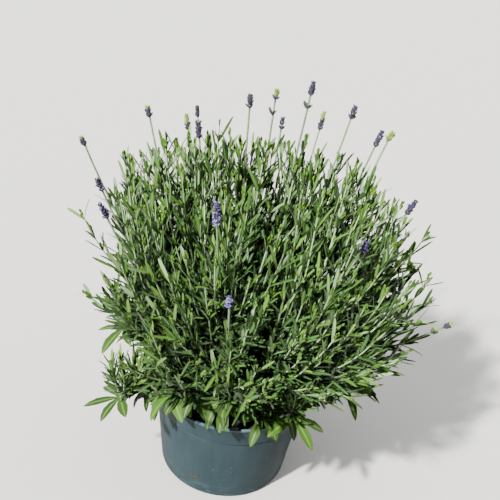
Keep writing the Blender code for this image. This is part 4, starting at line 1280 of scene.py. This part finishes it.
# %% [markdown]
# ## Flower spikes
#
# A spike is a stack of whorls. Each whorl is a ring of ribbed, felted calyces that point up and outwards, over a
# few papery bracts, and here and there a violet flower with five lobes opens from one. The lower a spike stands,
# the more of its flowers are open. A long spike has a gap above its middle, and on a few one more whorl sits
# apart below the rest.

# %% Calyx shape
CALYX_PROFILE = np.array([(0.0, 0.45), (0.25, 0.95), (0.6, 1.0), (0.88, 0.72), (1.0, 0.45)])  # of length and width
CALYX_SIDES = 6


def calyx_part(feet, ways, lengths, widths, number, tint, young):
    """Closed barrels: foot + way length s + width / 2 w(s) (cos(turn) helper + sin(turn) other), for all calyces."""
    helper = unit(np.cross(ways, np.array([0.31, 0.57, 0.76])))
    turns = tau * np.arange(CALYX_SIDES) / CALYX_SIDES
    ring = turned(turns, helper[:, None], np.cross(ways, helper)[:, None])
    s, w = CALYX_PROFILE.T
    middle = feet[:, None] + ways[:, None] * (lengths[:, None] * s)[:, :, None]
    points = middle[:, :, None] + ring[:, None] * (widths[:, None, None, None] / 2 * w[:, None, None])
    count, each = len(feet), len(s) * CALYX_SIDES
    around = np.arange(CALYX_SIDES)
    caps = np.array([around[::-1], each - CALYX_SIDES + around])
    faces = [copies(grid_faces(len(s), CALYX_SIDES), each, count), copies(caps, each, count)]
    way_up = np.tile(np.repeat(s, CALYX_SIDES), count)
    values = {"tint": np.repeat(tint, each), "young": np.repeat(young, each), "under": way_up}
    return points.reshape(-1, 3), faces, number, values


print("a calyx has", len(grid_faces(len(CALYX_PROFILE), CALYX_SIDES)) + 2, "faces")

# %% [markdown]
# ### Flower materials
#
# The calyx is felted grey-purple, darker and more violet towards its mouth, and greenish where it is young. The
# petals are a clear blue-violet with a soft sheen.

# %% Calyx and petal
# Felted calyx: dull and dusky, with pale hairs that only show at its edges
felted_calyx, tree, shader = new_material("felted_calyx", Roughness=0.8, Specular_IOR_Level=0.3, Sheen_Weight=0.08)
place = add(tree, "ShaderNodeTexCoord", output="Object")
tint, in_bud, way_up = (add(tree, "ShaderNodeAttribute", output="Fac", attribute_name=key) for key in ATTRIBUTES)
rise = add(tree, "ShaderNodeMapRange", {"Value": way_up, "From Min": 0.15, "From Max": 0.85})
foot = add(tree, "ShaderNodeMix", {SHARE: tint, FIRST: "#0C0C12", SECOND: "#24252D"}, MIXED, **RGBA)
mouth = add(tree, "ShaderNodeMix", {SHARE: tint, FIRST: "#0C0816", SECOND: "#211836"}, MIXED, **RGBA)
green = add(tree, "ShaderNodeMix", {SHARE: tint, FIRST: "#3C5018", SECOND: "#66782C"}, MIXED, **RGBA)
# Hairs about 0.2 mm apart, drawn at 0.6 mm so that they show
felt = add(tree, "ShaderNodeTexNoise", {"Vector": place, "Scale": 1 / (0.6 * MM), "Detail": 2.0})
coat(tree, shader, foot, [(rise, mouth), (in_bud, green)], felt, strength=0.6, depth=0.2 * MM)

# Thin petal: clear blue-violet, smoother than the calyx, and no two the same
violet_petal, tree, shader = new_material("violet_petal", Roughness=0.5, Sheen_Weight=0.05)
tint = add(tree, "ShaderNodeAttribute", output="Fac", attribute_name="tint")
coat(tree, shader, "#170A3A", [(tint, "#2B1E62")])
FLOWER = [felted_calyx, violet_petal, green_stem, upper_leaf]
CALYX, PETAL, SPIKE_STEM, BRACT = range(4)
print("flower finishes:", [finish.name for finish in FLOWER])

# %% [markdown]
# ### One spike
#
# The plant is at the start of its season, so the spikes differ: some are still all in green bud, most have dark
# calyces and hardly a flower, and the ones low in front are in full bloom. Three small tables say how each one is.

# %% How far each spike has opened
FEW_OPEN = 0.02  # the share of flowers that are open on a spike that isn't named below
OPEN_SHARE = {2: 0.1, 3: 0.25, 5: 0.12, 9: 0.15, 10: 0.06, 13: 0.12, 15: 0.25, 16: 0.2, 17: 0.6}
GREEN_SHARE = {1: 0.6, 4: 0.55, 7: 0.75, 12: 1.0, 14: 0.5, 18: 0.6, 19: 0.6, 20: 0.4}  # length still in bud
LOWER_WHORL = {8: 14 * MM, 14: 15 * MM, 7: 16 * MM}  # one more whorl this far below
print(len(OPEN_SHARE), "spikes have more than a few open flowers, and", len(GREEN_SHARE), "are partly green")

# %% Whorls
WHORL_SPACING = 3.9 * MM
PER_WHORL = 8
WHORL_TWIST = 37  # radians from the lowest whorl to the tip, so that calyces don't stand in columns
CALYX_LENGTH, CALYX_WIDTH = 5.6 * MM, 2.1 * MM
CALYX_LENGTHS, CALYX_WIDTHS = (0.85, 1.1), (0.9, 1.1)  # shares of those, by chance
CALYX_SPREAD, CALYX_LESS = radians(33), radians(19)  # off the stem at the lowest whorl, and how much less at the tip


def whorls(places, foot, way, shares):
    """Calyces in rings at the places: calyx j is turned j / 8 of a full turn and leans off the stem, less near the
    tip. Gives their feet, ways, lengths and shares of the height."""
    rank = np.repeat(shares, PER_WHORL)
    count = len(rank)
    helper = unit(np.cross(way, [0.2, 0.3, 0.9]))
    turns = np.tile(tau * np.arange(PER_WHORL) / PER_WHORL, len(shares)) + rank * WHORL_TWIST
    out = turned(turns + rng.normal(0, 0.15, count), helper, np.cross(way, helper))
    lean = CALYX_SPREAD - CALYX_LESS * rank + rng.normal(0, 0.12, count)
    ways = way * np.cos(lean)[:, None] + out * np.sin(lean)[:, None]
    feet = foot + way * np.repeat(places, PER_WHORL)[:, None] + out * STEM_TIP * 0.7
    full = 1.0 - 0.45 * np.abs(rank - 0.3) ** 1.2
    return feet, ways, CALYX_LENGTH * full * rng.uniform(*CALYX_LENGTHS, count), rank


print("whorls are", round(WHORL_SPACING / MM, 1), "mm apart")

# %% Flowers and bracts
PETALS, PETAL_SPREAD = 5, radians(62)
PETAL_LENGTHS, PETAL_BREADTH, PETAL_CURL = (1.7, 2.5), 0.8, 0.5  # mm, share of the length, and radians
BRACT_SPREAD, BRACT_CURL, BRACT_YOUTH = radians(48), -0.4, 0.4


def open_flowers(mouths, ways):
    """Rounded petals round each mouth: petal k of n is turned k / n of a full turn and leans by PETAL_SPREAD."""
    rows = []
    count = len(mouths)
    reference = np.array([0.5, 0.1, 0.8])
    for k in range(PETALS):
        turns = tau * k / PETALS + rng.normal(0, 0.25, count)
        lean = PETAL_SPREAD + rng.normal(0, 0.25, count)
        grown = rng.uniform(*PETAL_LENGTHS, count) * MM
        curl = np.full(count, PETAL_CURL)
        feet = mouths - ways * 0.9 * MM
        rows.append(leaves_at(feet, ways, turns, lean, grown, grown * PETAL_BREADTH, curl, 0.0, 1.0, reference))
    return stacked(rows)


def bracts(places, foot, way, length, count=4):
    """Small pointed leaves under each whorl: bract k of n is turned k / n of a full turn."""
    turns = np.tile(tau * np.arange(count) / count, len(places))
    feet = foot + way * (np.repeat(places, count) - 0.8 * MM)[:, None]
    ways = np.broadcast_to(way, (len(turns), 3))
    same = [np.full(len(turns), value) for value in (BRACT_SPREAD, length, length / 2, BRACT_CURL)]
    return leaves_at(feet, ways, turns, *same, BRACT_YOUTH, 0.0, np.array([0.4, 0.6, 0.7]))


print("an open flower has", PETALS, "petals")

# %% Build the spikes
SPIKE_FOOT, SPIKE_TIP = 8 * MM, 6 * MM  # points this near belong to the same end of a spike
LONG_SPIKE = 26 * MM  # one this long has a gap a bit above its middle
for name in SPIKES:
    number = int(name[-2:])
    points = node_points(name)
    foot = end_of(points, HEART, False, SPIKE_FOOT)
    way = unit(end_of(points, HEART, True, SPIKE_TIP) - foot)
    along = (points - foot) @ way
    foot = foot + way * along.min()
    length = np.ptp(along) - CALYX_LENGTH * 0.6
    count = max(3, round(length / WHORL_SPACING))
    places = length * (np.arange(count) + 0.15) / count
    if length > LONG_SPIKE:
        places = np.where(places < length * 0.55, places * 0.92, places * 0.72 + length * 0.26)
    shares = places / length
    lower = LOWER_WHORL.get(number)
    if lower:
        places, shares = np.append(-lower, places), np.append(0.0, shares)
    controls = np.array([foot - way * 2 * MM, foot + way * length / 2, foot + way * length])
    parts = [stem_part(controls, STEM_TIP, STEM_TIP * 0.7, 6, SPIKE_STEM, 0.4)]
    feet, ways, lengths, rank = whorls(places, foot, way, shares)
    widths = CALYX_WIDTH * (1 - 0.25 * rank) * rng.uniform(*CALYX_WIDTHS, len(rank))
    green = (rank > 1 - GREEN_SHARE.get(number, 0.0)) * 1.0
    parts.append(calyx_part(feet, ways, lengths, widths, CALYX, rng.random(len(rank)), green))
    opened = (rng.random(len(rank)) < OPEN_SHARE.get(number, FEW_OPEN)) & (green < 0.5)
    if opened.any():
        mouths = (feet + ways * lengths[:, None])[opened]
        parts.append(leaf_part(open_flowers(mouths, ways[opened]), PETAL))
    parts.append(leaf_part(bracts(places, foot, way, 3.6 * MM), BRACT))
    if lower:
        parts.append(leaf_part(bracts(places[:1], foot, way, 9 * MM, 2), BRACT))
    make_piece(name + "_bloom", parts, FLOWER, "flower", name)
print(len(SPIKES), "spikes")
